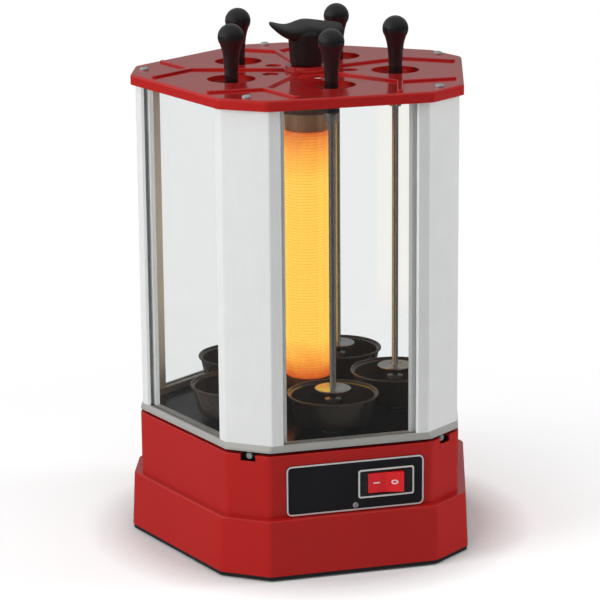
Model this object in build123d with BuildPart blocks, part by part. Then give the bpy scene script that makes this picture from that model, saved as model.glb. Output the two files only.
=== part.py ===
from build123d import *

import os
from math import acos, cos, pi, radians, sin, sqrt, tan

# Electric skewer grill, millimetres. The origin is on the floor under the middle of the grill, +Z is up
# and the face with the switch looks towards -Y. The plan is a five-sided figure with cut corners.

# ---- Plan ------------------------------------------------------------------------------------------
SIDES = 5
STEP_ANGLE = 360 / SIDES
FRONT_FACE = -90
FIRST_CORNER = FRONT_FACE - STEP_ANGLE / 2
FACE_ANGLES = [FRONT_FACE + STEP_ANGLE * i for i in range(SIDES)]
CORNER_ANGLES = [FIRST_CORNER + STEP_ANGLE * i for i in range(SIDES)]
HALF_STEP = radians(STEP_ANGLE / 2)

# Distance from the axis to a side, and to the cut of a corner, for each tier. The plinth is given at its
# foot: its walls lean inwards going up.
PLINTH_SIDE, PLINTH_CORNER = 125.7, 140.5
PLINTH_LEAN = 2.7
SHELL_SIDE, SHELL_CORNER = 117.6, 132.5
FRAME_SIDE, FRAME_CORNER = 117.4, 132.3
POST_SIDE, POST_CORNER = 116.6, 130.4
PLATE_SIDE, PLATE_CORNER = 120.0, 134.3
SHEET = 1.6
FLANGE = 12.0

# ---- Heights ---------------------------------------------------------------------------------------
FOOT_HEIGHT = 1.2
PLINTH_BOTTOM = 4.2
PLINTH_TOP = 47.6
SHELL_TOP = 96.8
TRAY_TOP = 99.0
LIFT_GAP = 0.3
FRAME_BOTTOM = TRAY_TOP + LIFT_GAP
FRAME_LIP = 1.7
FRAME_TOP = 104.5
PLATE_TOP = 367.0
PLATE_RIM = 8.0
PLATE_SHEET = 2.0
PLATE_UNDER = PLATE_TOP - PLATE_SHEET

# ---- Feet and bottom pan ---------------------------------------------------------------------------
FOOT_DIAMETER = 20.0
FOOT_RADIUS = 104.0
FOOT_STUB = 6.0
FOOT_HEAD = 9.0
FOOT_HEAD_HEIGHT = 1.5
PAN_FIT = 0.2
PAN_SETBACK = 0.6
PAN_WALL_TOP = 13.0
PAN_SCREW_RADIUS = 118.0
PAN_SCREW_DIAMETER = 4.0
PAN_SCREW_HEAD = 7.0
PAN_SCREW_LENGTH = 12.0
BRACKET_WIDTH = 14.0
BRACKET_BOTTOM = 13.0
BRACKET_THICK = 3.0

# ---- Bends and edges -------------------------------------------------------------------------------
BEND = 8.0
POST_BEND = 3.0
EDGE = 1.0

# ---- Corner notch and its screw --------------------------------------------------------------------
NOTCH_WIDTH = 12.0
NOTCH_HEIGHT = 5.0
NOTCH_DEPTH = 7.5
TAB_GAP = 4.5
TAB_FACE = SHELL_CORNER - TAB_GAP
TAB_WIDTH = 11.4
TAB_THICK = 1.6
TAB_BOTTOM = SHELL_TOP - 4.6
CORNER_SCREW_HEIGHT = SHELL_TOP - 1.6
CORNER_SCREW_DIAMETER = 3.0
CORNER_SCREW_HEAD = 5.6
CORNER_SCREW_HEAD_HEIGHT = 1.8

# ---- Label plate and switch ------------------------------------------------------------------------
LABEL_WIDTH = 108.0
LABEL_HEIGHT = 39.2
LABEL_X = 3.0
LABEL_Z = 68.3
LABEL_THICK = 1.0
LABEL_CORNER = 4.0
LABEL_SCREW_Z = 52.7
LABEL_SCREW_DIAMETER = 2.6
LABEL_SCREW_HEAD = 4.6
SWITCH_X = 26.7
SWITCH_Z = 69.5
SWITCH_WIDTH = 45.0
SWITCH_HEIGHT = 23.4
SWITCH_RIM = 2.0
SWITCH_BODY_WIDTH = 40.0
SWITCH_BODY_HEIGHT = 21.0
SWITCH_BODY_DEPTH = 24.0
ROCKER_WIDTH = 28.0
ROCKER_HEIGHT = 15.6
ROCKER_GAP = 0.8
ROCKER_TILT = 8.0
ROCKER_PIN = 3.0
ROCKER_PIN_REACH = 1.1
ROCKER_PIN_END = 0.2
ROCKER_AXIS_DEPTH = 3.0
ROCKER_HALF_DEPTH = 5.0

# ---- Drive -----------------------------------------------------------------------------------------
MODULE = 1.5
PRESSURE = radians(20)
MAIN_TEETH = 63
SPINDLE_TEETH = 28
PINION_TEETH = 16
TOOTH_RELIEF = 0.25
GEAR_BOTTOM = 62.0
GEAR_FACE = 8.0
MAIN_PITCH = MODULE * MAIN_TEETH / 2
SPINDLE_CIRCLE = MAIN_PITCH + MODULE * SPINDLE_TEETH / 2
PINION_CIRCLE = MAIN_PITCH + MODULE * PINION_TEETH / 2
PINION_ANGLE = 90.0
DECK_THICK = 2.0
DECK_BOTTOM = PLINTH_TOP + SHEET
DECK_TOP = DECK_BOTTOM + DECK_THICK
COLUMN_DIAMETER = 28.0
COLUMN_BORE = 20.0
COLUMN_STEP = 36.0
RUNNING_FIT = 0.05
CIRCLIP_OUTER = 33.0
CIRCLIP_THICK = 1.2
CIRCLIP_GAP = 0.4
SPINDLE_DIAMETER = 8.0
SPINDLE_COLLAR = 13.0
SPINDLE_TOP_COLLAR = 12.0
SPINDLE_TIP = 115.0
SQUARE_DRIVE = 5.4
BUSH_OUTER = 12.0
BUSH_FLANGE = 17.0
BUSH_FLANGE_THICK = 1.4
BUSH_FACE_GAP = 0.4
MOTOR_DIAMETER = 46.0
MOTOR_BOTTOM = 14.0
GEARBOX_HEIGHT = 14.0
GEARBOX_SIZE = 52.0
MOTOR_SHAFT = 6.0
MOTOR_BOSS = 14.0

# ---- Drip cups and skewers -------------------------------------------------------------------------
CUP_RIM = 71.0
CUP_BOTTOM_DIAMETER = 60.0
CUP_BOTTOM = 104.4
CUP_TOP = 128.0
CUP_WALL = 1.8
CUP_BEAD = 1.6
CUP_CURVE = 8.0
CUP_HUB = 14.0
CUP_HUB_TOP = 123.0
CUP_SOCKET_FLOOR = 117.0
SOCKET_SIDE_GAP = 0.3
ROD_DIAMETER = 5.0
ROD_FIT = 0.08
ROD_BOTTOM = CUP_SOCKET_FLOOR + LIFT_GAP
STOP_DIAMETER = 28.0
STOP_BOTTOM = 130.0
STOP_THICK = 1.6
HANDLE_BOTTOM = 346.0
HANDLE_TOP = 409.0
HANDLE_BALL = 20.0
HANDLE_NECK = 13.0
HANDLE_WAIST = 10.5
HANDLE_BASE = 12.0
FERRULE_DIAMETER = 11.0
FERRULE_LENGTH = 7.0
TANG_LENGTH = 40.0

# ---- Heater ----------------------------------------------------------------------------------------
HEATER_BASE_DIAMETER = 52.0
HEATER_BASE_TOP = 116.0
SLEEVE_OUTER = 44.0
SLEEVE_WALL = 1.4
SLEEVE_TOP = 342.0
SLEEVE_SEAT = 6.0
CORE_DIAMETER = 34.0
CORE_BORE = 24.0
LEAD_HOLE = 4.0
LEAD_RADIUS = 7.0
COIL_WIRE = 2.6
COIL_TURNS = 24
COIL_BOTTOM = 124.0
COIL_PITCH = 8.0
COIL_CORE_GAP = 0.2
CAP_DIAMETER = 50.0
CAP_TOP = 352.0
STUD_DIAMETER = 6.0
STUD_TOP = 390.0

# ---- Top plate -------------------------------------------------------------------------------------
HANDLE_HOLE = 37.0
VENT_HOLE = 13.0
VENT_RADIUS = 33.0
HUB_DIAMETER = 36.0
HUB_HEIGHT = 4.0
HUB_BORE = 10.0
RIB_WIDTH = 4.5
RIB_HEIGHT = 1.7
RIB_ROUNDING = 0.6
RIB_START = 17.0
RIB_FORK = 89.5
RIB_ARM = 42.0
RIB_SPREAD = 54.0
TOP_SCREW_RADIUS = 125.4
TOP_SCREW_DIAMETER = 3.0
TOP_SCREW_HEAD = 7.4
TOP_SCREW_HEAD_HEIGHT = 2.4
TOP_SCREW_LENGTH = 14.0

# ---- Posts and glass -------------------------------------------------------------------------------
SKIN = 1.8
GLASS = 3.2
GLASS_FIT = 0.1
INNER_LEG = 2.4
POST_FLANGE = 8.0
GLASS_HIDDEN = 5.5
GROOVE_DEPTH = 2.0
WEB_SETBACK = 2.0
SCREW_WEB = 8.0

# ---- Knob ------------------------------------------------------------------------------------------
KNOB_BOTTOM = PLATE_TOP + HUB_HEIGHT + 0.5
KNOB_BASE_DIAMETER = 25.0
KNOB_SHOULDER_DIAMETER = 28.5
KNOB_SHOULDER = KNOB_BOTTOM + 20.0
KNOB_TOP = 405.5
KNOB_REACH = 30.0
KNOB_TIP_Z = 407.0
KNOB_WING_THICK = 10.0
KNOB_WING_ROOT = 380.0
INSERT_DIAMETER = 11.0

# ---- Rear parts ------------------------------------------------------------------------------------
GLAND_FACE = FACE_ANGLES[3]
GLAND_Z = 24.0
GLAND_BORE = 6.4
GLAND_BODY = 12.0
GLAND_FLANGE = 18.0
GLAND_REACH = 4.0
TERMINAL_LENGTH = 44.0
TERMINAL_DEPTH = 18.0
TERMINAL_HEIGHT = 16.0
TERMINAL_Y = -60.0
TERMINAL_POLES = 4


def plan(side, corner, bend=0.0):
    """The five-sided outline with cut corners, its ten bends rounded."""
    with BuildSketch() as outline:
        RegularPolygon(side, SIDES, major_radius=False, rotation=FIRST_CORNER)
        RegularPolygon(corner, SIDES, major_radius=False, rotation=FRONT_FACE, mode=Mode.INTERSECT)
        if bend > 0:
            fillet(outline.vertices(), bend)
    return outline.sketch


def plan_ring(side, corner, thick, bend=0.0):
    """The band between an outline and the same outline set in by a thickness."""
    with BuildSketch() as band:
        add(plan(side, corner, bend))
        add(plan(side - thick, corner - thick, max(bend - thick, 0.4) if bend else 0.0), mode=Mode.SUBTRACT)
    return band.sketch


def face_plane(angle, distance, height=0.0):
    """A plane on a side of the grill: X runs along the side, Y is up and Z points outwards."""
    outward = Vector(cos(radians(angle)), sin(radians(angle)), 0)
    along = Vector(-sin(radians(angle)), cos(radians(angle)), 0)
    return Plane(origin=outward * distance + Vector(0, 0, height), x_dir=along, z_dir=outward)


def plinth_inset(height):
    """How far the leaning walls of the plinth have come in at a height."""
    return (height - PLINTH_BOTTOM) * tan(radians(PLINTH_LEAN))


def plinth_plane(angle, height, depth=0.0):
    """A plane on a leaning side of the plinth, or that far under its surface."""
    outward = Vector(cos(radians(angle)), sin(radians(angle)), 0)
    along = Vector(-sin(radians(angle)), cos(radians(angle)), 0)
    normal = outward * cos(radians(PLINTH_LEAN)) + Vector(0, 0, sin(radians(PLINTH_LEAN)))
    surface = outward * (PLINTH_SIDE - plinth_inset(height)) + Vector(0, 0, height)
    return Plane(origin=surface - normal * depth, x_dir=along, z_dir=normal)


def at_angle(angle, radius):
    """The point on a circle round the axis of the grill."""
    return (radius * cos(radians(angle)), radius * sin(radians(angle)))


def half_side(side, corner):
    """Half the length of one side of the outline."""
    return (corner - side * cos(HALF_STEP)) / sin(HALF_STEP)


def half_cut(side, corner):
    """Half the length of one cut corner of the outline."""
    return (side - corner * cos(HALF_STEP)) / sin(HALF_STEP)


def save(piece, name):
    """Label a finished piece and write it."""
    piece.part.label = name
    export_step(piece.part, f"parts/{name}.step")


def gear_outline(teeth, tooth_angle):
    """An involute gear outline with one tooth centred at the given angle in degrees."""
    pitch = MODULE * teeth / 2
    base = pitch * cos(PRESSURE)
    root = pitch - 1.25 * MODULE
    tip = pitch + MODULE
    flank_start = max(base, root)
    flank_radii = [flank_start, (flank_start + tip) / 2, tip]
    half_tooth = pi / (2 * teeth) - TOOTH_RELIEF / (2 * pitch)

    def involute(radius):
        angle = acos(min(1.0, base / radius))
        return tan(angle) - angle

    def polar(radius, angle):
        return (radius * cos(angle), radius * sin(angle))

    offsets = [half_tooth + involute(pitch) - involute(radius) for radius in flank_radii]
    turn = 2 * pi / teeth
    with BuildSketch() as outline:
        with BuildLine():
            for i in range(teeth):
                middle = radians(tooth_angle) + i * turn
                rising = [polar(r, middle - o) for r, o in zip(flank_radii, offsets)]
                falling = [polar(r, middle + o) for r, o in zip(flank_radii, offsets)]
                foot_up = polar(root, middle - offsets[0])
                foot_down = polar(root, middle + offsets[0])
                next_foot = polar(root, middle + turn - offsets[0])
                if flank_start > root:
                    Line(foot_up, rising[0])
                    Line(falling[0], foot_down)
                ThreePointArc(*rising)
                ThreePointArc(rising[-1], polar(tip, middle), falling[-1])
                ThreePointArc(falling[2], falling[1], falling[0])
                ThreePointArc(foot_down, polar(root, middle + turn / 2), next_foot)
        make_face()
    return outline.sketch


def meshing_angle(direction, teeth):
    """Where a follower's tooth sits so that it meshes with the main gear, whose tooth 0 is at 0 degrees."""
    main_turn = 360 / MAIN_TEETH
    main_offset = direction - round(direction / main_turn) * main_turn
    gap = direction + 180 + main_offset * MAIN_TEETH / teeth
    return gap + 180 / teeth


os.makedirs("parts", exist_ok=True)

# ==== Feet and bottom pan ===========================================================================
foot_places = [at_angle(angle, FOOT_RADIUS) for angle in CORNER_ANGLES]
pan_screw_places = [at_angle(angle, PAN_SCREW_RADIUS) for angle in CORNER_ANGLES]

with BuildPart() as feet:
    with Locations(*foot_places):
        Cylinder(FOOT_DIAMETER / 2, FOOT_HEIGHT, align=(Align.CENTER, Align.CENTER, Align.MIN))
    chamfer(feet.edges().group_by(Axis.Z)[0], 0.5)
    with BuildSketch(Plane.XY.offset(FOOT_HEIGHT)):
        with Locations(*foot_places):
            Circle(FOOT_STUB / 2)
    extrude(amount=PLINTH_BOTTOM - FOOT_HEIGHT)
    with BuildSketch(Plane.XY.offset(PLINTH_BOTTOM)):
        with Locations(*foot_places):
            Circle(FOOT_HEAD / 2)
    extrude(amount=FOOT_HEAD_HEIGHT)
save(feet, "feet")

pan_wall_inset = plinth_inset(PAN_WALL_TOP) + SHEET + PAN_FIT
with BuildPart() as bottom_pan:
    with BuildSketch(Plane.XY.offset(FOOT_HEIGHT)):
        add(plan(PLINTH_SIDE - PAN_SETBACK, PLINTH_CORNER - PAN_SETBACK, BEND - PAN_SETBACK))
        with Locations(*foot_places):
            Circle(FOOT_STUB / 2, mode=Mode.SUBTRACT)
        with Locations(*pan_screw_places):
            Circle(PAN_SCREW_DIAMETER / 2, mode=Mode.SUBTRACT)
    extrude(amount=PLINTH_BOTTOM - FOOT_HEIGHT)
    with BuildSketch(Plane.XY.offset(PLINTH_BOTTOM)):
        add(plan_ring(PLINTH_SIDE - pan_wall_inset, PLINTH_CORNER - pan_wall_inset, SHEET, BEND - SHEET))
    extrude(amount=PAN_WALL_TOP - PLINTH_BOTTOM)
save(bottom_pan, "bottom_pan")

# ==== Plinth ========================================================================================
with BuildPart() as plinth:
    with BuildSketch(Plane.XY.offset(PLINTH_BOTTOM)):
        add(plan(PLINTH_SIDE, PLINTH_CORNER, BEND))
    extrude(amount=PLINTH_TOP - PLINTH_BOTTOM, taper=PLINTH_LEAN)
    fillet(plinth.faces().sort_by(Axis.Z)[-1].edges(), EDGE * 1.4)
    with BuildSketch(Plane.XY.offset(PLINTH_BOTTOM)):
        add(plan(PLINTH_SIDE - SHEET, PLINTH_CORNER - SHEET, BEND - SHEET))
    extrude(amount=PLINTH_TOP - SHEET - PLINTH_BOTTOM, taper=PLINTH_LEAN, mode=Mode.SUBTRACT)
    with BuildSketch(Plane.XY.offset(PLINTH_TOP - SHEET)):
        add(plan(SHELL_SIDE - FLANGE, SHELL_CORNER - FLANGE, BEND / 2))
    extrude(amount=SHEET, mode=Mode.SUBTRACT)
    bracket_middle = BRACKET_BOTTOM + BRACKET_THICK / 2
    bracket_root = PLINTH_CORNER - plinth_inset(bracket_middle) - SHEET / 2
    for angle in CORNER_ANGLES:
        with BuildSketch(face_plane(angle, bracket_root, bracket_middle)):
            Rectangle(BRACKET_WIDTH, BRACKET_THICK)
        extrude(amount=-(bracket_root - PAN_SCREW_RADIUS + BRACKET_WIDTH / 2))
        with Locations((*at_angle(angle, PAN_SCREW_RADIUS), BRACKET_BOTTOM)):
            Cylinder(PAN_SCREW_DIAMETER / 2, 4 * BRACKET_THICK, mode=Mode.SUBTRACT)
    with BuildSketch(plinth_plane(GLAND_FACE, GLAND_Z)):
        Circle(GLAND_BODY / 2)
    extrude(amount=-2 * SHEET, mode=Mode.SUBTRACT)
save(plinth, "plinth")

with BuildPart() as pan_screws:
    with BuildSketch(Plane.XY.offset(FOOT_HEIGHT)):
        with Locations(*pan_screw_places):
            Circle(PAN_SCREW_DIAMETER / 2)
    extrude(amount=PAN_SCREW_LENGTH + FOOT_HEIGHT)
    with BuildSketch(Plane.XY.offset(FOOT_HEIGHT)):
        with Locations(*pan_screw_places):
            Circle(PAN_SCREW_HEAD / 2)
    extrude(amount=-FOOT_HEIGHT * 0.7)
save(pan_screws, "pan_screws")

# ==== Base shell ====================================================================================
with BuildPart() as base_shell:
    with BuildSketch(Plane.XY.offset(PLINTH_TOP)):
        add(plan(SHELL_SIDE, SHELL_CORNER, BEND))
    extrude(amount=SHELL_TOP - PLINTH_TOP)
    fillet(base_shell.faces().sort_by(Axis.Z)[-1].edges(), EDGE)
    with BuildSketch(Plane.XY.offset(PLINTH_TOP + SHEET)):
        add(plan(SHELL_SIDE - SHEET, SHELL_CORNER - SHEET, BEND - SHEET))
    extrude(amount=SHELL_TOP - PLINTH_TOP - 2 * SHEET, mode=Mode.SUBTRACT)
    with BuildSketch(Plane.XY.offset(PLINTH_TOP)):
        add(plan(SHELL_SIDE - FLANGE, SHELL_CORNER - FLANGE, BEND / 2))
    extrude(amount=SHELL_TOP - PLINTH_TOP, mode=Mode.SUBTRACT)
    for angle in CORNER_ANGLES:
        with BuildSketch(face_plane(angle, SHELL_CORNER, SHELL_TOP - NOTCH_HEIGHT / 2)):
            Rectangle(NOTCH_WIDTH, NOTCH_HEIGHT)
        extrude(amount=-NOTCH_DEPTH, mode=Mode.SUBTRACT)
    with BuildSketch(face_plane(FRONT_FACE, SHELL_SIDE, SWITCH_Z)):
        with Locations((SWITCH_X, 0)):
            Rectangle(SWITCH_BODY_WIDTH, SWITCH_BODY_HEIGHT)
    extrude(amount=-2 * SHEET, mode=Mode.SUBTRACT)
    with BuildSketch(face_plane(FRONT_FACE, SHELL_SIDE, LABEL_SCREW_Z)):
        with Locations((LABEL_X, 0)):
            Circle(LABEL_SCREW_DIAMETER / 2)
    extrude(amount=-2 * SHEET, mode=Mode.SUBTRACT)
save(base_shell, "base_shell")

# ==== Label plate with its screw ====================================================================
with BuildPart() as label_plate:
    with BuildSketch(face_plane(FRONT_FACE, SHELL_SIDE, 0)):
        with Locations((LABEL_X, LABEL_Z)):
            RectangleRounded(LABEL_WIDTH, LABEL_HEIGHT, LABEL_CORNER)
        with Locations((SWITCH_X, SWITCH_Z)):
            Rectangle(SWITCH_BODY_WIDTH, SWITCH_BODY_HEIGHT, mode=Mode.SUBTRACT)
        with Locations((LABEL_X, LABEL_SCREW_Z)):
            Circle(LABEL_SCREW_DIAMETER / 2, mode=Mode.SUBTRACT)
    extrude(amount=LABEL_THICK)
save(label_plate, "label_plate")

LABEL_FACE = SHELL_SIDE + LABEL_THICK
with BuildPart() as label_screw:
    with BuildSketch(face_plane(FRONT_FACE, LABEL_FACE, LABEL_SCREW_Z)):
        with Locations((LABEL_X, 0)):
            Circle(LABEL_SCREW_DIAMETER / 2)
    extrude(amount=-(LABEL_THICK + 4 * SHEET))
    with BuildSketch(face_plane(FRONT_FACE, LABEL_FACE, LABEL_SCREW_Z)):
        with Locations((LABEL_X, 0)):
            Circle(LABEL_SCREW_HEAD / 2)
    extrude(amount=EDGE, taper=20)
save(label_screw, "label_screw")

# ==== Rocker switch =================================================================================
# The rocker turns about a vertical pin behind its face. Its halves form a shallow vee, each tilted
# by ROCKER_TILT, and it rests turned by the same angle with its left half pressed in: on.
ROCKER_AXIS = LABEL_FACE + SWITCH_RIM - ROCKER_AXIS_DEPTH
ROCKER_OPENING_WIDTH = ROCKER_WIDTH + 2 * ROCKER_GAP
ROCKER_OPENING_HEIGHT = ROCKER_HEIGHT + 2 * ROCKER_GAP

with BuildPart() as switch_frame:
    with BuildSketch(face_plane(FRONT_FACE, LABEL_FACE, SWITCH_Z)):
        with Locations((SWITCH_X, 0)):
            RectangleRounded(SWITCH_WIDTH, SWITCH_HEIGHT, 2 * EDGE)
    extrude(amount=SWITCH_RIM, taper=15)
    with BuildSketch(face_plane(FRONT_FACE, LABEL_FACE, SWITCH_Z)):
        with Locations((SWITCH_X, 0)):
            Rectangle(SWITCH_BODY_WIDTH, SWITCH_BODY_HEIGHT)
    extrude(amount=-SWITCH_BODY_DEPTH)
    with BuildSketch(face_plane(FRONT_FACE, LABEL_FACE + SWITCH_RIM, SWITCH_Z)):
        with Locations((SWITCH_X, 0)):
            Rectangle(ROCKER_OPENING_WIDTH, ROCKER_OPENING_HEIGHT)
    extrude(amount=-(SWITCH_RIM + ROCKER_HALF_DEPTH + 6 * ROCKER_GAP), mode=Mode.SUBTRACT)
    with BuildSketch(Plane.XY.offset(SWITCH_Z - ROCKER_OPENING_HEIGHT / 2 - ROCKER_PIN_REACH)):
        with Locations((SWITCH_X, -ROCKER_AXIS)):
            Circle(ROCKER_PIN / 2 + RUNNING_FIT)
    extrude(amount=ROCKER_OPENING_HEIGHT + 2 * ROCKER_PIN_REACH, mode=Mode.SUBTRACT)
save(switch_frame, "switch_frame")

with BuildPart() as switch_rocker:
    tilt = radians(ROCKER_TILT)
    half = ROCKER_WIDTH / 2
    rocker_plane = Plane(
        origin=(SWITCH_X, -ROCKER_AXIS, SWITCH_Z - ROCKER_HEIGHT / 2), x_dir=(cos(tilt), -sin(tilt), 0)
    )
    with BuildSketch(rocker_plane):
        with BuildLine():
            Polyline(
                (0, -ROCKER_AXIS_DEPTH),
                (half * cos(tilt), -ROCKER_AXIS_DEPTH - half * sin(tilt)),
                (half * cos(tilt), -EDGE),
                (0, ROCKER_AXIS_DEPTH),
                (-half * cos(tilt), -EDGE),
                (-half * cos(tilt), -ROCKER_AXIS_DEPTH - half * sin(tilt)),
                close=True,
            )
        make_face()
    extrude(amount=ROCKER_HEIGHT)
    with BuildSketch(Plane.XY.offset(SWITCH_Z - ROCKER_OPENING_HEIGHT / 2 - ROCKER_PIN_REACH + ROCKER_PIN_END)):
        with Locations((SWITCH_X, -ROCKER_AXIS)):
            Circle(ROCKER_PIN / 2)
    extrude(amount=ROCKER_OPENING_HEIGHT + 2 * (ROCKER_PIN_REACH - ROCKER_PIN_END))
save(switch_rocker, "switch_rocker")

# ==== Floor tray over the drive =====================================================================
spindle_places = [at_angle(angle, SPINDLE_CIRCLE) for angle in FACE_ANGLES]

with BuildPart() as floor_tray:
    with BuildSketch(Plane.XY.offset(SHELL_TOP)):
        add(plan(POST_SIDE - SKIN - GLASS, TAB_FACE, BEND / 2))
        Circle(COLUMN_BORE / 2, mode=Mode.SUBTRACT)
        with Locations(*spindle_places):
            Circle(BUSH_OUTER / 2, mode=Mode.SUBTRACT)
    extrude(amount=TRAY_TOP - SHELL_TOP)
    for angle in CORNER_ANGLES:
        with BuildSketch(face_plane(angle, TAB_FACE, (TAB_BOTTOM + TRAY_TOP) / 2)):
            Rectangle(TAB_WIDTH, TRAY_TOP - TAB_BOTTOM)
        extrude(amount=-TAB_THICK)
        with BuildSketch(face_plane(angle, TAB_FACE, CORNER_SCREW_HEIGHT)):
            Circle(CORNER_SCREW_DIAMETER / 2)
        extrude(amount=-TAB_THICK - EDGE, mode=Mode.SUBTRACT)
save(floor_tray, "floor_tray")

with BuildPart() as corner_screws:
    for angle in CORNER_ANGLES:
        with BuildSketch(face_plane(angle, TAB_FACE, CORNER_SCREW_HEIGHT)):
            Circle(CORNER_SCREW_DIAMETER / 2)
        extrude(amount=-TAB_THICK - EDGE)
        with BuildSketch(face_plane(angle, TAB_FACE, CORNER_SCREW_HEIGHT)):
            Circle(CORNER_SCREW_HEAD / 2)
        extrude(amount=CORNER_SCREW_HEAD_HEIGHT, taper=15)
save(corner_screws, "corner_screws")

# ==== Drive deck, gears, spindles and motor =========================================================
pinion_place = at_angle(PINION_ANGLE, PINION_CIRCLE)
gear_top = GEAR_BOTTOM + GEAR_FACE
bush_floor = DECK_TOP + BUSH_FLANGE_THICK
bush_ceiling = SHELL_TOP - BUSH_FLANGE_THICK

with BuildPart() as drive_deck:
    with BuildSketch(Plane.XY.offset(DECK_BOTTOM)):
        add(plan(SHELL_SIDE - 2 * SHEET, SHELL_CORNER - 2 * SHEET, BEND / 2))
        with Locations(*spindle_places):
            Circle(BUSH_OUTER / 2, mode=Mode.SUBTRACT)
        with Locations(pinion_place):
            Circle(MOTOR_BOSS / 2, mode=Mode.SUBTRACT)
    extrude(amount=DECK_THICK)
    with BuildSketch(Plane.XY.offset(DECK_TOP)):
        Circle(COLUMN_STEP / 2)
    extrude(amount=GEAR_BOTTOM - CIRCLIP_GAP - DECK_TOP)
    with BuildSketch(Plane.XY.offset(DECK_TOP)):
        Circle(COLUMN_DIAMETER / 2)
    extrude(amount=SHELL_TOP - DECK_TOP)
    with BuildSketch(Plane.XY.offset(gear_top + CIRCLIP_GAP)):
        Circle(COLUMN_DIAMETER / 2)
        Circle(COLUMN_DIAMETER / 2 - EDGE, mode=Mode.SUBTRACT)
    extrude(amount=CIRCLIP_THICK, mode=Mode.SUBTRACT)
    with BuildSketch(Plane.XY.offset(DECK_BOTTOM)):
        Circle(COLUMN_BORE / 2)
    extrude(amount=SHELL_TOP - DECK_BOTTOM, mode=Mode.SUBTRACT)
save(drive_deck, "drive_deck")

with BuildPart() as gear_circlip:
    with BuildSketch(Plane.XY.offset(gear_top + CIRCLIP_GAP)):
        Circle(CIRCLIP_OUTER / 2)
        Circle(COLUMN_DIAMETER / 2 - EDGE, mode=Mode.SUBTRACT)
        with Locations((0, -COLUMN_DIAMETER / 2)):
            Rectangle(4 * EDGE, 2 * COLUMN_BORE / 3, mode=Mode.SUBTRACT)
    extrude(amount=CIRCLIP_THICK)
save(gear_circlip, "gear_circlip")

with BuildPart() as main_gear:
    with BuildSketch(Plane.XY.offset(GEAR_BOTTOM)):
        add(gear_outline(MAIN_TEETH, 0))
        Circle(COLUMN_DIAMETER / 2 + RUNNING_FIT, mode=Mode.SUBTRACT)
        with PolarLocations((COLUMN_STEP / 2 + MAIN_PITCH) / 2, 6):
            Circle(5.5, mode=Mode.SUBTRACT)
    extrude(amount=GEAR_FACE)
save(main_gear, "main_gear")

with BuildPart() as motor_pinion:
    with BuildSketch(Plane.XY.offset(GEAR_BOTTOM)):
        with Locations(pinion_place):
            add(gear_outline(PINION_TEETH, meshing_angle(PINION_ANGLE, PINION_TEETH)))
    extrude(amount=GEAR_FACE)
    with BuildSketch(Plane.XY.offset(DECK_BOTTOM - GEARBOX_HEIGHT / 2)):
        with Locations(pinion_place):
            Circle(MOTOR_SHAFT / 2)
    extrude(amount=gear_top + 2 * EDGE - DECK_BOTTOM + GEARBOX_HEIGHT / 2)
save(motor_pinion, "motor_pinion")

with BuildPart() as gear_motor:
    with BuildSketch(Plane.XY.offset(MOTOR_BOTTOM)):
        with Locations(pinion_place):
            Circle(MOTOR_DIAMETER / 2)
    extrude(amount=DECK_BOTTOM - GEARBOX_HEIGHT - MOTOR_BOTTOM)
    chamfer(gear_motor.faces().sort_by(Axis.Z)[0].edges(), 2 * EDGE)
    with BuildSketch(Plane.XY.offset(DECK_BOTTOM - GEARBOX_HEIGHT)):
        with Locations(pinion_place):
            RectangleRounded(GEARBOX_SIZE, GEARBOX_SIZE, 6 * EDGE)
    extrude(amount=GEARBOX_HEIGHT)
    with BuildSketch(Plane.XY.offset(DECK_BOTTOM)):
        with Locations(pinion_place):
            Circle(MOTOR_BOSS / 2)
    extrude(amount=DECK_THICK + 2 * EDGE)
    with BuildSketch(Plane.XY.offset(DECK_BOTTOM - GEARBOX_HEIGHT / 2 - LIFT_GAP)):
        with Locations(pinion_place):
            Circle(MOTOR_SHAFT / 2 + RUNNING_FIT)
    extrude(amount=GEARBOX_HEIGHT + DECK_THICK + 2 * EDGE, mode=Mode.SUBTRACT)
save(gear_motor, "gear_motor")

with BuildPart() as spindle_bushes:
    for bottom, flange_bottom, height in (
        (DECK_BOTTOM, DECK_TOP, DECK_THICK + BUSH_FLANGE_THICK),
        (bush_ceiling, bush_ceiling, TRAY_TOP - bush_ceiling),
    ):
        with BuildSketch(Plane.XY.offset(bottom)):
            with Locations(*spindle_places):
                Circle(BUSH_OUTER / 2)
        extrude(amount=height)
        with BuildSketch(Plane.XY.offset(flange_bottom)):
            with Locations(*spindle_places):
                Circle(BUSH_FLANGE / 2)
        extrude(amount=BUSH_FLANGE_THICK)
    with BuildSketch(Plane.XY.offset(DECK_BOTTOM)):
        with Locations(*spindle_places):
            Circle(SPINDLE_DIAMETER / 2 + RUNNING_FIT)
    extrude(amount=TRAY_TOP - DECK_BOTTOM, mode=Mode.SUBTRACT)
save(spindle_bushes, "spindle_bushes")

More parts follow.
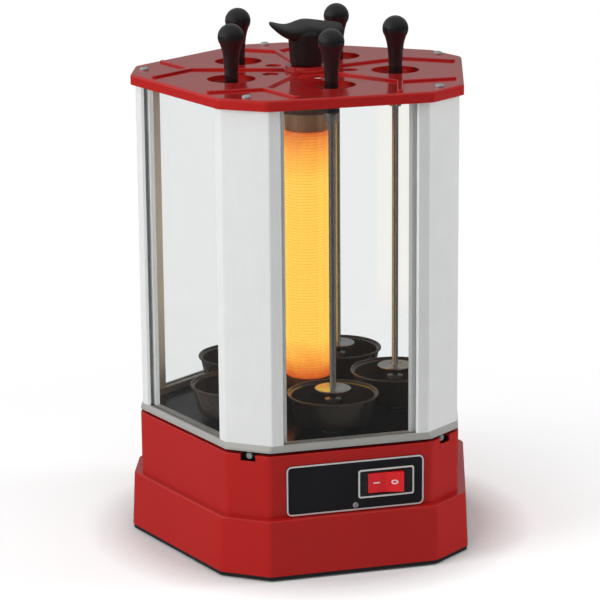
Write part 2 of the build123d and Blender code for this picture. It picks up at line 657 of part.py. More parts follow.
for number, (angle, place) in enumerate(zip(FACE_ANGLES, spindle_places), start=1):
    with BuildPart() as spindle:
        with BuildSketch(Plane.XY.offset(GEAR_BOTTOM)):
            with Locations(place):
                add(gear_outline(SPINDLE_TEETH, meshing_angle(angle, SPINDLE_TEETH)))
        extrude(amount=GEAR_FACE)
        for bottom, top, diameter in (
            (DECK_BOTTOM, CUP_BOTTOM - LIFT_GAP, SPINDLE_DIAMETER),
            (bush_floor + BUSH_FACE_GAP, GEAR_BOTTOM, SPINDLE_COLLAR),
            (gear_top, bush_ceiling - BUSH_FACE_GAP, SPINDLE_COLLAR),
            (TRAY_TOP + BUSH_FACE_GAP, CUP_BOTTOM - LIFT_GAP, SPINDLE_TOP_COLLAR),
        ):
            with BuildSketch(Plane.XY.offset(bottom)):
                with Locations(place):
                    Circle(diameter / 2)
            extrude(amount=top - bottom)
        with BuildSketch(Plane.XY.offset(CUP_BOTTOM - LIFT_GAP)):
            with Locations(place):
                Rectangle(SQUARE_DRIVE, SQUARE_DRIVE, rotation=angle)
        extrude(amount=SPINDLE_TIP - CUP_BOTTOM + LIFT_GAP)
    save(spindle, f"spindle_{number}")

# ==== Drip cups =====================================================================================
for number, (angle, place) in enumerate(zip(FACE_ANGLES, spindle_places), start=1):
    with BuildPart() as drip_cup:
        with BuildSketch(Plane(origin=(*place, 0), x_dir=(1, 0, 0), z_dir=(0, -1, 0))) as cup_section:
            with BuildLine():
                Polyline(
                    (0, CUP_BOTTOM),
                    (CUP_BOTTOM_DIAMETER / 2, CUP_BOTTOM),
                    (CUP_RIM / 2 - CUP_BEAD, CUP_TOP - CUP_BEAD),
                    (CUP_RIM / 2, CUP_TOP - CUP_BEAD),
                    (CUP_RIM / 2, CUP_TOP),
                    (CUP_RIM / 2 - CUP_BEAD - CUP_WALL, CUP_TOP),
                    (CUP_BOTTOM_DIAMETER / 2 - CUP_WALL, CUP_BOTTOM + CUP_WALL),
                    (CUP_HUB / 2, CUP_BOTTOM + CUP_WALL),
                    (CUP_HUB / 2, CUP_HUB_TOP),
                    (0, CUP_HUB_TOP),
                    close=True,
                )
            make_face()
            outer_corner = (CUP_BOTTOM_DIAMETER / 2, CUP_BOTTOM)
            fillet(cup_section.vertices().sort_by_distance(outer_corner)[0], CUP_CURVE)
            inner_corner = (CUP_BOTTOM_DIAMETER / 2 - CUP_WALL, CUP_BOTTOM + CUP_WALL)
            fillet(cup_section.vertices().sort_by_distance(inner_corner)[0], CUP_CURVE - CUP_WALL)
        revolve(axis=Axis((*place, 0), (0, 0, 1)))
        with BuildSketch(Plane(origin=(*place, CUP_BOTTOM))):
            Rectangle(
                SQUARE_DRIVE + 2 * SOCKET_SIDE_GAP, SQUARE_DRIVE + 2 * SOCKET_SIDE_GAP, rotation=angle
            )
        extrude(amount=SPINDLE_TIP + LIFT_GAP - CUP_BOTTOM, mode=Mode.SUBTRACT)
        with BuildSketch(Plane(origin=(*place, CUP_SOCKET_FLOOR))):
            Circle(ROD_DIAMETER / 2 + ROD_FIT)
        extrude(amount=CUP_TOP - CUP_SOCKET_FLOOR, mode=Mode.SUBTRACT)
    save(drip_cup, f"drip_cup_{number}")

# ==== Skewers and their handles =====================================================================
for number, place in enumerate(spindle_places, start=1):
    with BuildPart() as skewer:
        with BuildSketch(Plane(origin=(*place, ROD_BOTTOM))):
            Circle(ROD_DIAMETER / 2)
        extrude(amount=HANDLE_BOTTOM + TANG_LENGTH - ROD_BOTTOM)
        with BuildSketch(Plane(origin=(*place, STOP_BOTTOM))):
            Circle(STOP_DIAMETER / 2)
        extrude(amount=STOP_THICK)
        with BuildSketch(Plane(origin=(*place, HANDLE_BOTTOM))):
            Circle(FERRULE_DIAMETER / 2)
        extrude(amount=-FERRULE_LENGTH, taper=8)
    save(skewer, f"skewer_{number}")

    ball_centre = HANDLE_TOP - HANDLE_BALL / 2
    neck_z = ball_centre - sqrt((HANDLE_BALL / 2) ** 2 - (HANDLE_NECK / 2) ** 2)
    waist_z = (neck_z + HANDLE_BOTTOM) / 2
    with BuildPart() as skewer_handle:
        with BuildSketch(Plane(origin=(*place, 0), x_dir=(1, 0, 0), z_dir=(0, -1, 0))):
            with BuildLine():
                side_line = Spline(
                    (HANDLE_BASE / 2, HANDLE_BOTTOM),
                    (HANDLE_WAIST / 2, waist_z),
                    (HANDLE_NECK / 2, neck_z),
                )
                ThreePointArc(
                    (HANDLE_NECK / 2, neck_z), (HANDLE_BALL / 2, ball_centre), (0, HANDLE_TOP)
                )
                Line((0, HANDLE_TOP), (0, HANDLE_BOTTOM))
                Line((0, HANDLE_BOTTOM), side_line @ 0)
            make_face()
        revolve(axis=Axis((*place, 0), (0, 0, 1)))
        with BuildSketch(Plane(origin=(*place, HANDLE_BOTTOM))):
            Circle(ROD_DIAMETER / 2)
        extrude(amount=TANG_LENGTH, mode=Mode.SUBTRACT)
    save(skewer_handle, f"skewer_handle_{number}")

# ==== Bottom frame of the hood ======================================================================
glass_outer = POST_SIDE - SKIN - GLASS_FIT
frame_inner = 10.0
with BuildPart() as bottom_frame:
    with BuildSketch(Plane.XY.offset(FRAME_BOTTOM)):
        add(plan(FRAME_SIDE, FRAME_CORNER, BEND / 2))
    extrude(amount=FRAME_LIP)
    with BuildSketch(Plane.XY.offset(FRAME_BOTTOM + FRAME_LIP)):
        add(plan(FRAME_SIDE, FRAME_CORNER, BEND / 2))
    with BuildSketch(Plane.XY.offset(FRAME_TOP)):
        add(plan(POST_SIDE, POST_CORNER, BEND / 2))
    loft()
    with BuildSketch(Plane.XY.offset(FRAME_BOTTOM)):
        add(plan(FRAME_SIDE - frame_inner, FRAME_CORNER - frame_inner, BEND / 2))
    extrude(amount=FRAME_TOP - FRAME_BOTTOM, mode=Mode.SUBTRACT)
    for angle in FACE_ANGLES:
        with BuildSketch(face_plane(angle, glass_outer, FRAME_TOP - GROOVE_DEPTH / 2)):
            Rectangle(2 * (half_side(POST_SIDE, POST_CORNER) - POST_FLANGE + GLASS_HIDDEN), GROOVE_DEPTH)
        extrude(amount=-GLASS, mode=Mode.SUBTRACT)
save(bottom_frame, "bottom_frame")

# ==== Corner posts ==================================================================================
cut_reach = half_cut(POST_SIDE, POST_CORNER)
post_half_width = cut_reach + POST_FLANGE * cos(HALF_STEP)
post_depth = SKIN + GLASS + 2 * GLASS_FIT + INNER_LEG
glass_half_width = half_side(POST_SIDE, POST_CORNER) - POST_FLANGE + GLASS_HIDDEN
slot_end = glass_half_width + GLASS_FIT
slot_length = 2 * POST_FLANGE
for number, angle in enumerate(CORNER_ANGLES, start=1):
    with BuildPart() as corner_post:
        with BuildSketch(Plane.XY.offset(FRAME_TOP)):
            add(plan_ring(POST_SIDE, POST_CORNER, post_depth, POST_BEND))
            with Locations(at_angle(angle, POST_CORNER)):
                Rectangle(4 * post_depth, 2 * post_half_width, rotation=angle, mode=Mode.INTERSECT)
            for side in (-1, 1):
                # The slot that takes the edge of a glass panel, open towards the middle of the face.
                face_angle = angle + side * STEP_ANGLE / 2
                outward = at_angle(face_angle, POST_SIDE - SKIN - GLASS_FIT - GLASS / 2)
                along = at_angle(face_angle - side * 90, slot_end - slot_length / 2)
                with Locations((outward[0] + along[0], outward[1] + along[1])):
                    Rectangle(GLASS + 2 * GLASS_FIT, slot_length, rotation=face_angle, mode=Mode.SUBTRACT)
                # The hollow chamber beside the screw web.
                chamber = cut_reach - WEB_SETBACK - SCREW_WEB / 2 - SKIN
                middle = SCREW_WEB / 2 + chamber / 2
                hollow_out = at_angle(angle, POST_CORNER - SKIN - GLASS / 2)
                hollow_along = at_angle(angle + 90 * side, middle)
                with Locations((hollow_out[0] + hollow_along[0], hollow_out[1] + hollow_along[1])):
                    Rectangle(GLASS, chamber, rotation=angle, mode=Mode.SUBTRACT)
        extrude(amount=PLATE_UNDER - FRAME_TOP)
        with Locations((*at_angle(angle, TOP_SCREW_RADIUS), PLATE_UNDER)):
            Cylinder(TOP_SCREW_DIAMETER / 2, 2 * TOP_SCREW_LENGTH, mode=Mode.SUBTRACT)
    save(corner_post, f"corner_post_{number}")

# ==== Glass panels ==================================================================================
glass_bottom = FRAME_TOP - GROOVE_DEPTH
for number, angle in enumerate(FACE_ANGLES, start=1):
    with BuildPart() as glass_panel:
        with BuildSketch(face_plane(angle, glass_outer, (glass_bottom + PLATE_UNDER) / 2)):
            Rectangle(2 * glass_half_width, PLATE_UNDER - glass_bottom)
        extrude(amount=-GLASS)
    save(glass_panel, f"glass_panel_{number}")

# ==== Top plate =====================================================================================
with BuildPart() as top_plate:
    with BuildSketch(Plane.XY.offset(PLATE_TOP - PLATE_RIM)):
        add(plan(PLATE_SIDE, PLATE_CORNER, BEND))
    extrude(amount=PLATE_RIM)
    fillet(top_plate.faces().sort_by(Axis.Z)[-1].edges(), 2 * EDGE)
    with BuildSketch(Plane.XY.offset(PLATE_TOP - PLATE_RIM)):
        add(plan(PLATE_SIDE - PLATE_SHEET, PLATE_CORNER - PLATE_SHEET, BEND - PLATE_SHEET))
    extrude(amount=PLATE_RIM - PLATE_SHEET, mode=Mode.SUBTRACT)
    with BuildSketch(Plane.XY.offset(PLATE_TOP)):
        for angle in CORNER_ANGLES:
            stem_length = RIB_FORK - RIB_START
            with Locations(at_angle(angle, RIB_START + stem_length / 2)):
                SlotCenterToCenter(stem_length, RIB_WIDTH, rotation=angle)
            fork = at_angle(angle, RIB_FORK)
            for spread in (-RIB_SPREAD, RIB_SPREAD):
                reach = at_angle(angle + spread, RIB_ARM / 2)
                with Locations((fork[0] + reach[0], fork[1] + reach[1])):
                    SlotCenterToCenter(RIB_ARM, RIB_WIDTH, rotation=angle + spread)
        Circle(HUB_DIAMETER / 2)
    extrude(amount=RIB_HEIGHT)
    fillet(top_plate.faces().sort_by(Axis.Z)[-1].edges(), RIB_HEIGHT * RIB_ROUNDING)
    with BuildSketch(Plane.XY.offset(PLATE_TOP)):
        Circle(HUB_DIAMETER / 2 - EDGE)
    extrude(amount=HUB_HEIGHT, taper=12)
    with BuildSketch(Plane.XY.offset(PLATE_UNDER)):
        Circle(HUB_BORE / 2)
        with PolarLocations(SPINDLE_CIRCLE, SIDES, start_angle=FRONT_FACE):
            Circle(HANDLE_HOLE / 2)
        with PolarLocations(VENT_RADIUS, SIDES, start_angle=FRONT_FACE):
            Circle(VENT_HOLE / 2)
        with PolarLocations(TOP_SCREW_RADIUS, SIDES, start_angle=FIRST_CORNER):
            Circle(TOP_SCREW_DIAMETER / 2)
    extrude(amount=PLATE_SHEET + HUB_HEIGHT + EDGE, mode=Mode.SUBTRACT)
save(top_plate, "top_plate")

with BuildPart() as top_screws:
    with BuildSketch(Plane.XY.offset(PLATE_TOP)):
        with PolarLocations(TOP_SCREW_RADIUS, SIDES, start_angle=FIRST_CORNER):
            Circle(TOP_SCREW_HEAD / 2)
    extrude(amount=TOP_SCREW_HEAD_HEIGHT, taper=25)
    with BuildSketch(Plane.XY.offset(PLATE_TOP)):
        with PolarLocations(TOP_SCREW_RADIUS, SIDES, start_angle=FIRST_CORNER):
            Circle(TOP_SCREW_DIAMETER / 2)
    extrude(amount=-TOP_SCREW_LENGTH)
    with BuildSketch(Plane.XY.offset(PLATE_TOP + TOP_SCREW_HEAD_HEIGHT)):
        with PolarLocations(TOP_SCREW_RADIUS, SIDES, start_angle=FIRST_CORNER):
            Rectangle(TOP_SCREW_HEAD / 2, 0.8)
            Rectangle(0.8, TOP_SCREW_HEAD / 2)
    extrude(amount=-TOP_SCREW_HEAD_HEIGHT / 2, mode=Mode.SUBTRACT)
save(top_screws, "top_screws")

# ==== Knob ==========================================================================================
with BuildPart() as knob:
    with BuildSketch(Plane.XZ):
        with BuildLine():
            Polyline(
                (0, KNOB_BOTTOM),
                (KNOB_BASE_DIAMETER / 2, KNOB_BOTTOM),
                (KNOB_SHOULDER_DIAMETER / 2, KNOB_SHOULDER),
                (KNOB_SHOULDER_DIAMETER / 4, KNOB_TOP),
                (0, KNOB_TOP),
                close=True,
            )
        make_face()
    revolve(axis=Axis.Z)
    with BuildSketch(Plane.XZ.offset(-KNOB_WING_THICK / 2)):
        with BuildLine():
            Polyline(
                (0, KNOB_WING_ROOT),
                (KNOB_SHOULDER_DIAMETER / 2, KNOB_SHOULDER - 4),
                (KNOB_REACH, KNOB_TIP_Z - 9),
                (KNOB_REACH, KNOB_TIP_Z),
                (KNOB_REACH - 6, KNOB_TIP_Z),
                (KNOB_SHOULDER_DIAMETER / 2, KNOB_TOP - 5),
                (0, KNOB_TOP),
                close=True,
            )
        make_face()
        mirror(about=Plane.YZ)
    extrude(amount=KNOB_WING_THICK)
    with BuildSketch(Plane.XY.offset(KNOB_BOTTOM)):
        Circle(INSERT_DIAMETER / 2)
    extrude(amount=STUD_TOP + 1.5 - KNOB_BOTTOM, mode=Mode.SUBTRACT)
save(knob, "knob")

with BuildPart() as knob_insert:
    with BuildSketch(Plane.XY.offset(KNOB_BOTTOM)):
        Circle(INSERT_DIAMETER / 2)
        Circle(STUD_DIAMETER / 2 + RUNNING_FIT, mode=Mode.SUBTRACT)
    extrude(amount=STUD_TOP + 1.5 - KNOB_BOTTOM)
save(knob_insert, "knob_insert")

# ==== Heater ========================================================================================
with BuildPart() as heater_base:
    with BuildSketch(Plane.XY.offset(TRAY_TOP)):
        Circle(HEATER_BASE_DIAMETER / 2)
    extrude(amount=HEATER_BASE_TOP - TRAY_TOP)
    chamfer(heater_base.faces().sort_by(Axis.Z)[-1].edges(), 2 * EDGE)
    with BuildSketch(Plane.XY.offset(HEATER_BASE_TOP - SLEEVE_SEAT)):
        Circle(SLEEVE_OUTER / 2)
        Circle(SLEEVE_OUTER / 2 - SLEEVE_WALL, mode=Mode.SUBTRACT)
    extrude(amount=SLEEVE_SEAT, mode=Mode.SUBTRACT)
    with BuildSketch(Plane.XY.offset(SHELL_TOP)):
        Circle(COLUMN_BORE / 2)
    extrude(amount=TRAY_TOP - SHELL_TOP)
    with BuildSketch(Plane.XY.offset(HEATER_BASE_TOP - SLEEVE_SEAT)):
        Circle(CORE_DIAMETER / 2)
        Circle(CORE_BORE / 2, mode=Mode.SUBTRACT)
    extrude(amount=SLEEVE_SEAT, mode=Mode.SUBTRACT)
    with BuildSketch(Plane.XY.offset(SHELL_TOP)):
        Circle(STUD_DIAMETER / 2)
        with PolarLocations(LEAD_RADIUS, 2):
            Circle(LEAD_HOLE / 2)
    extrude(amount=HEATER_BASE_TOP - SHELL_TOP, mode=Mode.SUBTRACT)
save(heater_base, "heater_base")

with BuildPart() as heater_core:
    with BuildSketch(Plane.XY.offset(HEATER_BASE_TOP - SLEEVE_SEAT)):
        Circle(CORE_DIAMETER / 2)
        Circle(CORE_BORE / 2, mode=Mode.SUBTRACT)
    extrude(amount=SLEEVE_TOP - HEATER_BASE_TOP + SLEEVE_SEAT)
save(heater_core, "heater_core")

with BuildPart() as heater_glass:
    with BuildSketch(Plane.XY.offset(HEATER_BASE_TOP - SLEEVE_SEAT)):
        Circle(SLEEVE_OUTER / 2)
        Circle(SLEEVE_OUTER / 2 - SLEEVE_WALL, mode=Mode.SUBTRACT)
    extrude(amount=SLEEVE_TOP - HEATER_BASE_TOP + SLEEVE_SEAT)
save(heater_glass, "heater_glass")

with BuildPart() as heater_cap:
    with BuildSketch(Plane.XY.offset(SLEEVE_TOP - SLEEVE_SEAT)):
        Circle(CAP_DIAMETER / 2)
        Circle(SLEEVE_OUTER / 2, mode=Mode.SUBTRACT)
    extrude(amount=SLEEVE_SEAT)
    with BuildSketch(Plane.XY.offset(SLEEVE_TOP)):
        Circle(CAP_DIAMETER / 2)
        Circle(STUD_DIAMETER / 2, mode=Mode.SUBTRACT)
    extrude(amount=CAP_TOP - SLEEVE_TOP)
    chamfer(heater_cap.faces().sort_by(Axis.Z)[-1].edges().sort_by(SortBy.LENGTH)[-1], 2 * EDGE)
save(heater_cap, "heater_cap")

with BuildPart() as centre_stud:
    with BuildSketch(Plane.XY.offset(SHELL_TOP)):
        Circle(STUD_DIAMETER / 2)
    extrude(amount=STUD_TOP - SHELL_TOP)
    chamfer(centre_stud.faces().sort_by(Axis.Z)[-1].edges(), EDGE / 2)
    with BuildSketch(Plane.XY.offset(CAP_TOP)):
        RegularPolygon(5.5, 6)
        Circle(STUD_DIAMETER / 2, mode=Mode.SUBTRACT)
    extrude(amount=3 * EDGE)
save(centre_stud, "centre_stud")

# The element is one wire wound on the core: two arcs to every quarter turn of its helix.
coil_radius = CORE_DIAMETER / 2 + COIL_CORE_GAP + COIL_WIRE / 2
coil_slope = COIL_PITCH / (2 * pi * coil_radius)


def coil_point(turns):
    """The point of the helix after a number of turns."""
    angle = 2 * pi * turns
    return Vector(coil_radius * cos(angle), coil_radius * sin(angle), COIL_BOTTOM + COIL_PITCH * turns)


def coil_direction(turns):
    """The unit direction of the helix after a number of turns."""
    angle = 2 * pi * turns
    return Vector(-sin(angle), cos(angle), coil_slope).normalized()


QUARTERS = 4 * COIL_TURNS
with BuildPart() as heater_coil:
    with BuildLine() as coil_path:
        for quarter in range(QUARTERS):
            start, end = coil_point(quarter / 4), coil_point((quarter + 1) / 4)
            leaving, arriving = coil_direction(quarter / 4), coil_direction((quarter + 1) / 4)
            chord = end - start
            # Equal handles d of a biarc: |chord - d (leaving + arriving)| = 2 d.
            tangents = leaving + arriving
            a = 4 - tangents.dot(tangents)
            b = 2 * chord.dot(tangents)
            c = -chord.dot(chord)
            handle = (-b + sqrt(b * b - 4 * a * c)) / (2 * a)
            joint = (start + leaving * handle + end - arriving * handle) / 2
            first = TangentArc(start, joint, tangent=leaving)
            TangentArc(joint, end, tangent=first % 1)
    with BuildSketch(Plane(origin=coil_point(0), z_dir=coil_direction(0))):
        Circle(COIL_WIRE / 2)
    sweep(path=coil_path.wires()[0])
save(heater_coil, "heater_coil")
print("coil: least gap between turns", round(COIL_PITCH * cos(coil_slope) - COIL_WIRE, 2), "mm")

# ==== Cable gland and terminal block ================================================================
with BuildPart() as cable_gland:
    with BuildSketch(plinth_plane(GLAND_FACE, GLAND_Z)):
        Circle(GLAND_FLANGE / 2)
    extrude(amount=GLAND_REACH, taper=20)
    with BuildSketch(plinth_plane(GLAND_FACE, GLAND_Z)):
        Circle(GLAND_BODY / 2)
    extrude(amount=-SHEET)
    with BuildSketch(plinth_plane(GLAND_FACE, GLAND_Z, SHEET)):
        RegularPolygon(GLAND_FLANGE / 2, 6)
    extrude(amount=-GLAND_REACH)
    with BuildSketch(plinth_plane(GLAND_FACE, GLAND_Z, -GLAND_REACH)):
        Circle(GLAND_BORE / 2)
    extrude(amount=-(2 * GLAND_REACH + SHEET), mode=Mode.SUBTRACT)
save(cable_gland, "cable_gland")

with BuildPart() as terminal_block:
    with BuildSketch(Plane.XY.offset(PLINTH_BOTTOM)):
        with Locations((0, TERMINAL_Y)):
            RectangleRounded(TERMINAL_LENGTH, TERMINAL_DEPTH, 2 * EDGE)
    extrude(amount=TERMINAL_HEIGHT)
    with BuildSketch(Plane.XY.offset(PLINTH_BOTTOM + TERMINAL_HEIGHT)):
        with Locations((0, TERMINAL_Y)):
            with GridLocations(TERMINAL_LENGTH / TERMINAL_POLES, TERMINAL_DEPTH / 2, TERMINAL_POLES, 2):
                Circle(1.8)
    extrude(amount=-TERMINAL_HEIGHT / 2, mode=Mode.SUBTRACT)
save(terminal_block, "terminal_block")
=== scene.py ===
"""Blender scene of the upright five-sided electric skewer grill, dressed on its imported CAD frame.

Every sub-assembly is a class that keeps its sizes in metres, builds its own meshes and gives them their
finishes. Sheet-metal tiers, posts, panes and drive parts are the CAD nodes with new materials. The knob,
grips, cups, heater winding, screws, trims and marks are modelled here.
"""
import logging
import math
from dataclasses import dataclass, field
from enum import Enum
from typing import Any, Iterable, Sequence

import bmesh
import bpy
from mathutils import Matrix, Vector


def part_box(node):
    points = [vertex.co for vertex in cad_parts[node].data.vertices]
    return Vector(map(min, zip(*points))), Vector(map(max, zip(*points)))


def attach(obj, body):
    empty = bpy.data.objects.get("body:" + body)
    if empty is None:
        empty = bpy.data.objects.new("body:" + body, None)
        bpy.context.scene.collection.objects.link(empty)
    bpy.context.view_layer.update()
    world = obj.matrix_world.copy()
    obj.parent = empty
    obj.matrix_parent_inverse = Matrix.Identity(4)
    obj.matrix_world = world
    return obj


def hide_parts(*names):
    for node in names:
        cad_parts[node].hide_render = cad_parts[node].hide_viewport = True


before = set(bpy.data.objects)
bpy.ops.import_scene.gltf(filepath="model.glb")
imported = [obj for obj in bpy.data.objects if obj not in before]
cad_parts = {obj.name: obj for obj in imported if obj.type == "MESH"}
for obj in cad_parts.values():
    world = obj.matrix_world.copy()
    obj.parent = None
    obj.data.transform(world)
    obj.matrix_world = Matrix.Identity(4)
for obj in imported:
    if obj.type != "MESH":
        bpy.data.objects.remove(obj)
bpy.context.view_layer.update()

LOG = logging.getLogger("grill")
MM = 0.001
SIDES = 5
STEP = 2 * math.pi / SIDES
FRONT = -math.pi / 2
FACE_ANGLES = [FRONT + STEP * i for i in range(SIDES)]
CORNER_ANGLES = [FRONT - STEP / 2 + STEP * i for i in range(SIDES)]
NUMBERS = range(1, SIDES + 1)
SPINDLE_CIRCLE = 68.25 * MM
WELD = 1e-7
HALF_TURN = Matrix.Rotation(math.pi, 4, "Z")

Colour = tuple[float, float, float]
Point2 = tuple[float, float]
Point3 = tuple[float, float, float]
WHITE: Colour = (1.0, 1.0, 1.0)
EVEN: Point3 = (1.0, 1.0, 1.0)


def around(angle: float, radius: float, height: float = 0.0) -> Vector:
    """A point at that angle, distance from the main axis, and height."""
    return Vector((radius * math.cos(angle), radius * math.sin(angle), height))


def facing(angle: float, distance: float, height: float) -> Matrix:
    """The frame of a side: local x runs along the side, y points outwards and z up.

    Args:
        angle: The side's angle about the main axis.
        distance: From the main axis.
        height: Above the table.

    Returns:
        The frame's matrix.
    """
    outward = around(angle, 1.0)
    along = Vector((-outward.y, outward.x, 0.0))
    turn = Matrix((-along, outward, Vector((0, 0, 1)))).transposed()
    return Matrix.Translation(around(angle, distance, height)) @ turn.to_4x4()


class Value:
    """One output socket of a shader node, usable in Python arithmetic."""

    def __init__(self, graph: "Graph", socket: bpy.types.NodeSocket) -> None:
        """Keeps the graph that new nodes go to, and the socket."""
        self.graph = graph
        self.socket = socket

    def math(self, operation: str, *others: Any, clamp: bool = False) -> "Value":
        """The result of one Math node that starts with this value."""
        return self.graph.calculate(operation, self, *others, clamp=clamp)

    def __add__(self, other: Any) -> "Value":
        """Sum."""
        return self.math("ADD", other)

    __radd__ = __add__

    def __mul__(self, other: Any) -> "Value":
        """Product."""
        return self.math("MULTIPLY", other)

    __rmul__ = __mul__

    def __sub__(self, other: Any) -> "Value":
        """Difference."""
        return self.math("SUBTRACT", other)

    def __rsub__(self, other: Any) -> "Value":
        """Difference with this value taken away."""
        return self.graph.calculate("SUBTRACT", other, self)

    def __truediv__(self, other: Any) -> "Value":
        """Quotient."""
        return self.math("DIVIDE", other)

    def __pow__(self, other: Any) -> "Value":
        """Power."""
        return self.math("POWER", other)

    def __gt__(self, other: Any) -> "Value":
        """1 where this value is larger."""
        return self.math("GREATER_THAN", other)

    def clamped(self) -> "Value":
        """This value kept between 0 and 1."""
        return self.math("ADD", 0.0, clamp=True)


class Graph:
    """The node tree of one material or world."""

    def __init__(self, owner: Any) -> None:
        """Empties the owner's tree.

        Args:
            owner: The material or world.
        """
        owner.use_nodes = True
        self.tree = owner.node_tree
        self.tree.nodes.clear()

    def node(
        self, kind: str, settings: dict[str, Any] | None = None, inputs: dict[Any, Any] | None = None
    ) -> Any:
        """Adds a node.

        Args:
            kind: The node's type name.
            settings: What is set first, such as an operation, or the stops of a ramp.
            inputs: Values or links of its sockets, by name or number.

        Returns:
            The new node.
        """
        made = self.tree.nodes.new(kind)
        for key, value in (settings or {}).items():
            if key == "stops":
                ramp = made.color_ramp
                while len(ramp.elements) < len(value):
                    ramp.elements.new(0.5)
                for element, (place, colour) in zip(ramp.elements, value):
                    element.position = place
                    element.color = (*colour, 1.0)
            else:
                setattr(made, key, value)
        for key, value in (inputs or {}).items():
            socket = made.inputs[key]
            if isinstance(value, Value):
                self.tree.links.new(value.socket, socket)
            elif isinstance(value, bpy.types.NodeSocket):
                self.tree.links.new(value, socket)
            elif socket.type == "RGBA" and len(value) == 3:
                socket.default_value = (*value, 1.0)
            else:
                socket.default_value = value
        return made

    def calculate(self, operation: str, *terms: Any, clamp: bool = False) -> Value:
        """The result of one Math node over the terms, kept between 0 and 1 if asked."""
        settings = {"operation": operation, "use_clamp": clamp}
        return Value(self, self.node("ShaderNodeMath", settings, dict(enumerate(terms))).outputs[0])

    def rays(self, *kinds: str) -> Value:
        """1 for rays of the kinds, such as Camera, and 0 for all others.

        Args:
            kinds: Names of rays, as the Light Path node has them.

        Returns:
            The value.
        """
        path = self.node("ShaderNodeLightPath")
        found = Value(self, path.outputs[f"Is {kinds[0]} Ray"])
        for kind in kinds[1:]:
            found = found + Value(self, path.outputs[f"Is {kind} Ray"])
        return found.clamped()

    def place(self, stretch: Point3 = EVEN) -> bpy.types.NodeSocket:
        """Object coordinates in metres, multiplied by the stretch.

        Args:
            stretch: Factor along each axis.

        Returns:
            The position in metres.
        """
        coordinates = self.node("ShaderNodeTexCoord")
        scaled = self.node(
            "ShaderNodeVectorMath", {"operation": "MULTIPLY"}, {0: coordinates.outputs["Object"], 1: stretch}
        )
        return scaled.outputs[0]

    def parts(self, vector: bpy.types.NodeSocket) -> tuple[Value, Value, Value]:
        """The three numbers of a vector."""
        split = self.node("ShaderNodeSeparateXYZ", {}, {0: vector})
        return tuple(Value(self, output) for output in split.outputs)

    def noise(
        self, size: float, detail: float = 2.0, stretch: Point3 = EVEN, rough: float = 0.5
    ) -> Value:
        """Noise whose features are about that size in metres.

        Args:
            size: Feature size in metres before the stretch.
            detail: Octaves.
            stretch: Multiplies the coordinates, so a smaller number draws the noise out along that axis.
            rough: How strong the finer octaves are.

        Returns:
            A value that averages one half.
        """
        made = self.node(
            "ShaderNodeTexNoise",
            {"noise_dimensions": "3D"},
            {"Vector": self.place(stretch), "Scale": 1.0 / size, "Detail": detail, "Roughness": rough},
        )
        return Value(self, made.outputs["Fac"])

    def ramp(self, value: Value, stops: Sequence[tuple[float, Colour]]) -> bpy.types.NodeSocket:
        """The linear colour that the stops give a value from 0 to 1."""
        return self.node("ShaderNodeValToRGB", {"stops": stops}, {0: value}).outputs["Color"]

    def mix(self, factor: Any, first: Any, second: Any) -> bpy.types.NodeSocket:
        """A blend of two colours, where a factor of 1 gives the second."""
        made = self.node("ShaderNodeMix", {"data_type": "RGBA"}, {0: factor, 6: first, 7: second})
        return made.outputs[2]

    def bump(self, height: Value, depth: float, normal: Any = None) -> bpy.types.NodeSocket:
        """A normal from a height.

        Args:
            height: Height between 0 and 1.
            depth: The real depth in metres of a height of 1.
            normal: An earlier bump's normal.

        Returns:
            The normal socket.
        """
        inputs = {"Strength": 1.0, "Distance": depth, "Height": height}
        if normal is not None:
            inputs["Normal"] = normal
        return self.node("ShaderNodeBump", {}, inputs).outputs["Normal"]

    def surface(self, inputs: dict[str, Any]) -> Any:
        """A Principled shader with those sockets."""
        return self.node("ShaderNodeBsdfPrincipled", {}, inputs).outputs[0]

    def glow(self, strength: Any) -> Any:
        """White light of that strength."""
        return self.node("ShaderNodeEmission", {}, {"Color": WHITE, "Strength": strength}).outputs[0]

    def blend(self, share: Value, first: Any, second: Any) -> Any:
        """A blend of two shaders, where a share of 1 gives the second."""
        return self.node("ShaderNodeMixShader", {}, {0: share, 1: first, 2: second}).outputs[0]

    def output(self, shader: Any, kind: str = "ShaderNodeOutputMaterial") -> None:
        """Connects the shader to the output."""
        self.node(kind, {}, {"Surface": shader})


@dataclass(frozen=True)
class Finish:
    """A finish that makes its material once."""

    title: str

    def shade(self, graph: Graph) -> Any:
        """The shader socket of this finish."""
        raise NotImplementedError

    def material(self) -> bpy.types.Material:
        """The material, made on first use.

        Returns:
            The material.
        """
        made = bpy.data.materials.get(self.title)
        if made is None:
            made = bpy.data.materials.new(self.title)
            graph = Graph(made)
            graph.output(self.shade(graph))
        return made


@dataclass(frozen=True)
class BakedEnamel(Finish):
    """Gloss enamel on pressed sheet, with orange peel, slight waviness and specks of dust."""

    colour: Colour
    shade_under: Colour
    roughness: float = 0.10
    wave: float = 0.00004
    coat: float = 0.3
    shine: float = 0.5

    def shade(self, graph: Graph) -> Any:
        """Enamel shader.

        Args:
            graph: The material's nodes.

        Returns:
            The shader.
        """
        cloud = graph.noise(0.045, 3.0)
        peel = graph.noise(0.0016, 1.0)
        sheet = graph.noise(0.06, 1.0)
        dust = (graph.noise(0.0007, 1.0) > 0.76) * 0.02
        base = graph.mix((cloud * 0.55 + dust).clamped(), self.colour, self.shade_under)
        wavy = graph.bump(sheet, self.wave)
        return graph.surface(
            {
                "Base Color": base,
                "Roughness": graph.noise(0.012, 2.0) * 0.06 + self.roughness + dust,
                "Specular IOR Level": self.shine,
                "Coat Weight": self.coat,
                "Coat Roughness": 0.04,
                "Normal": graph.bump(peel, 0.0000012, wavy),
            }
        )


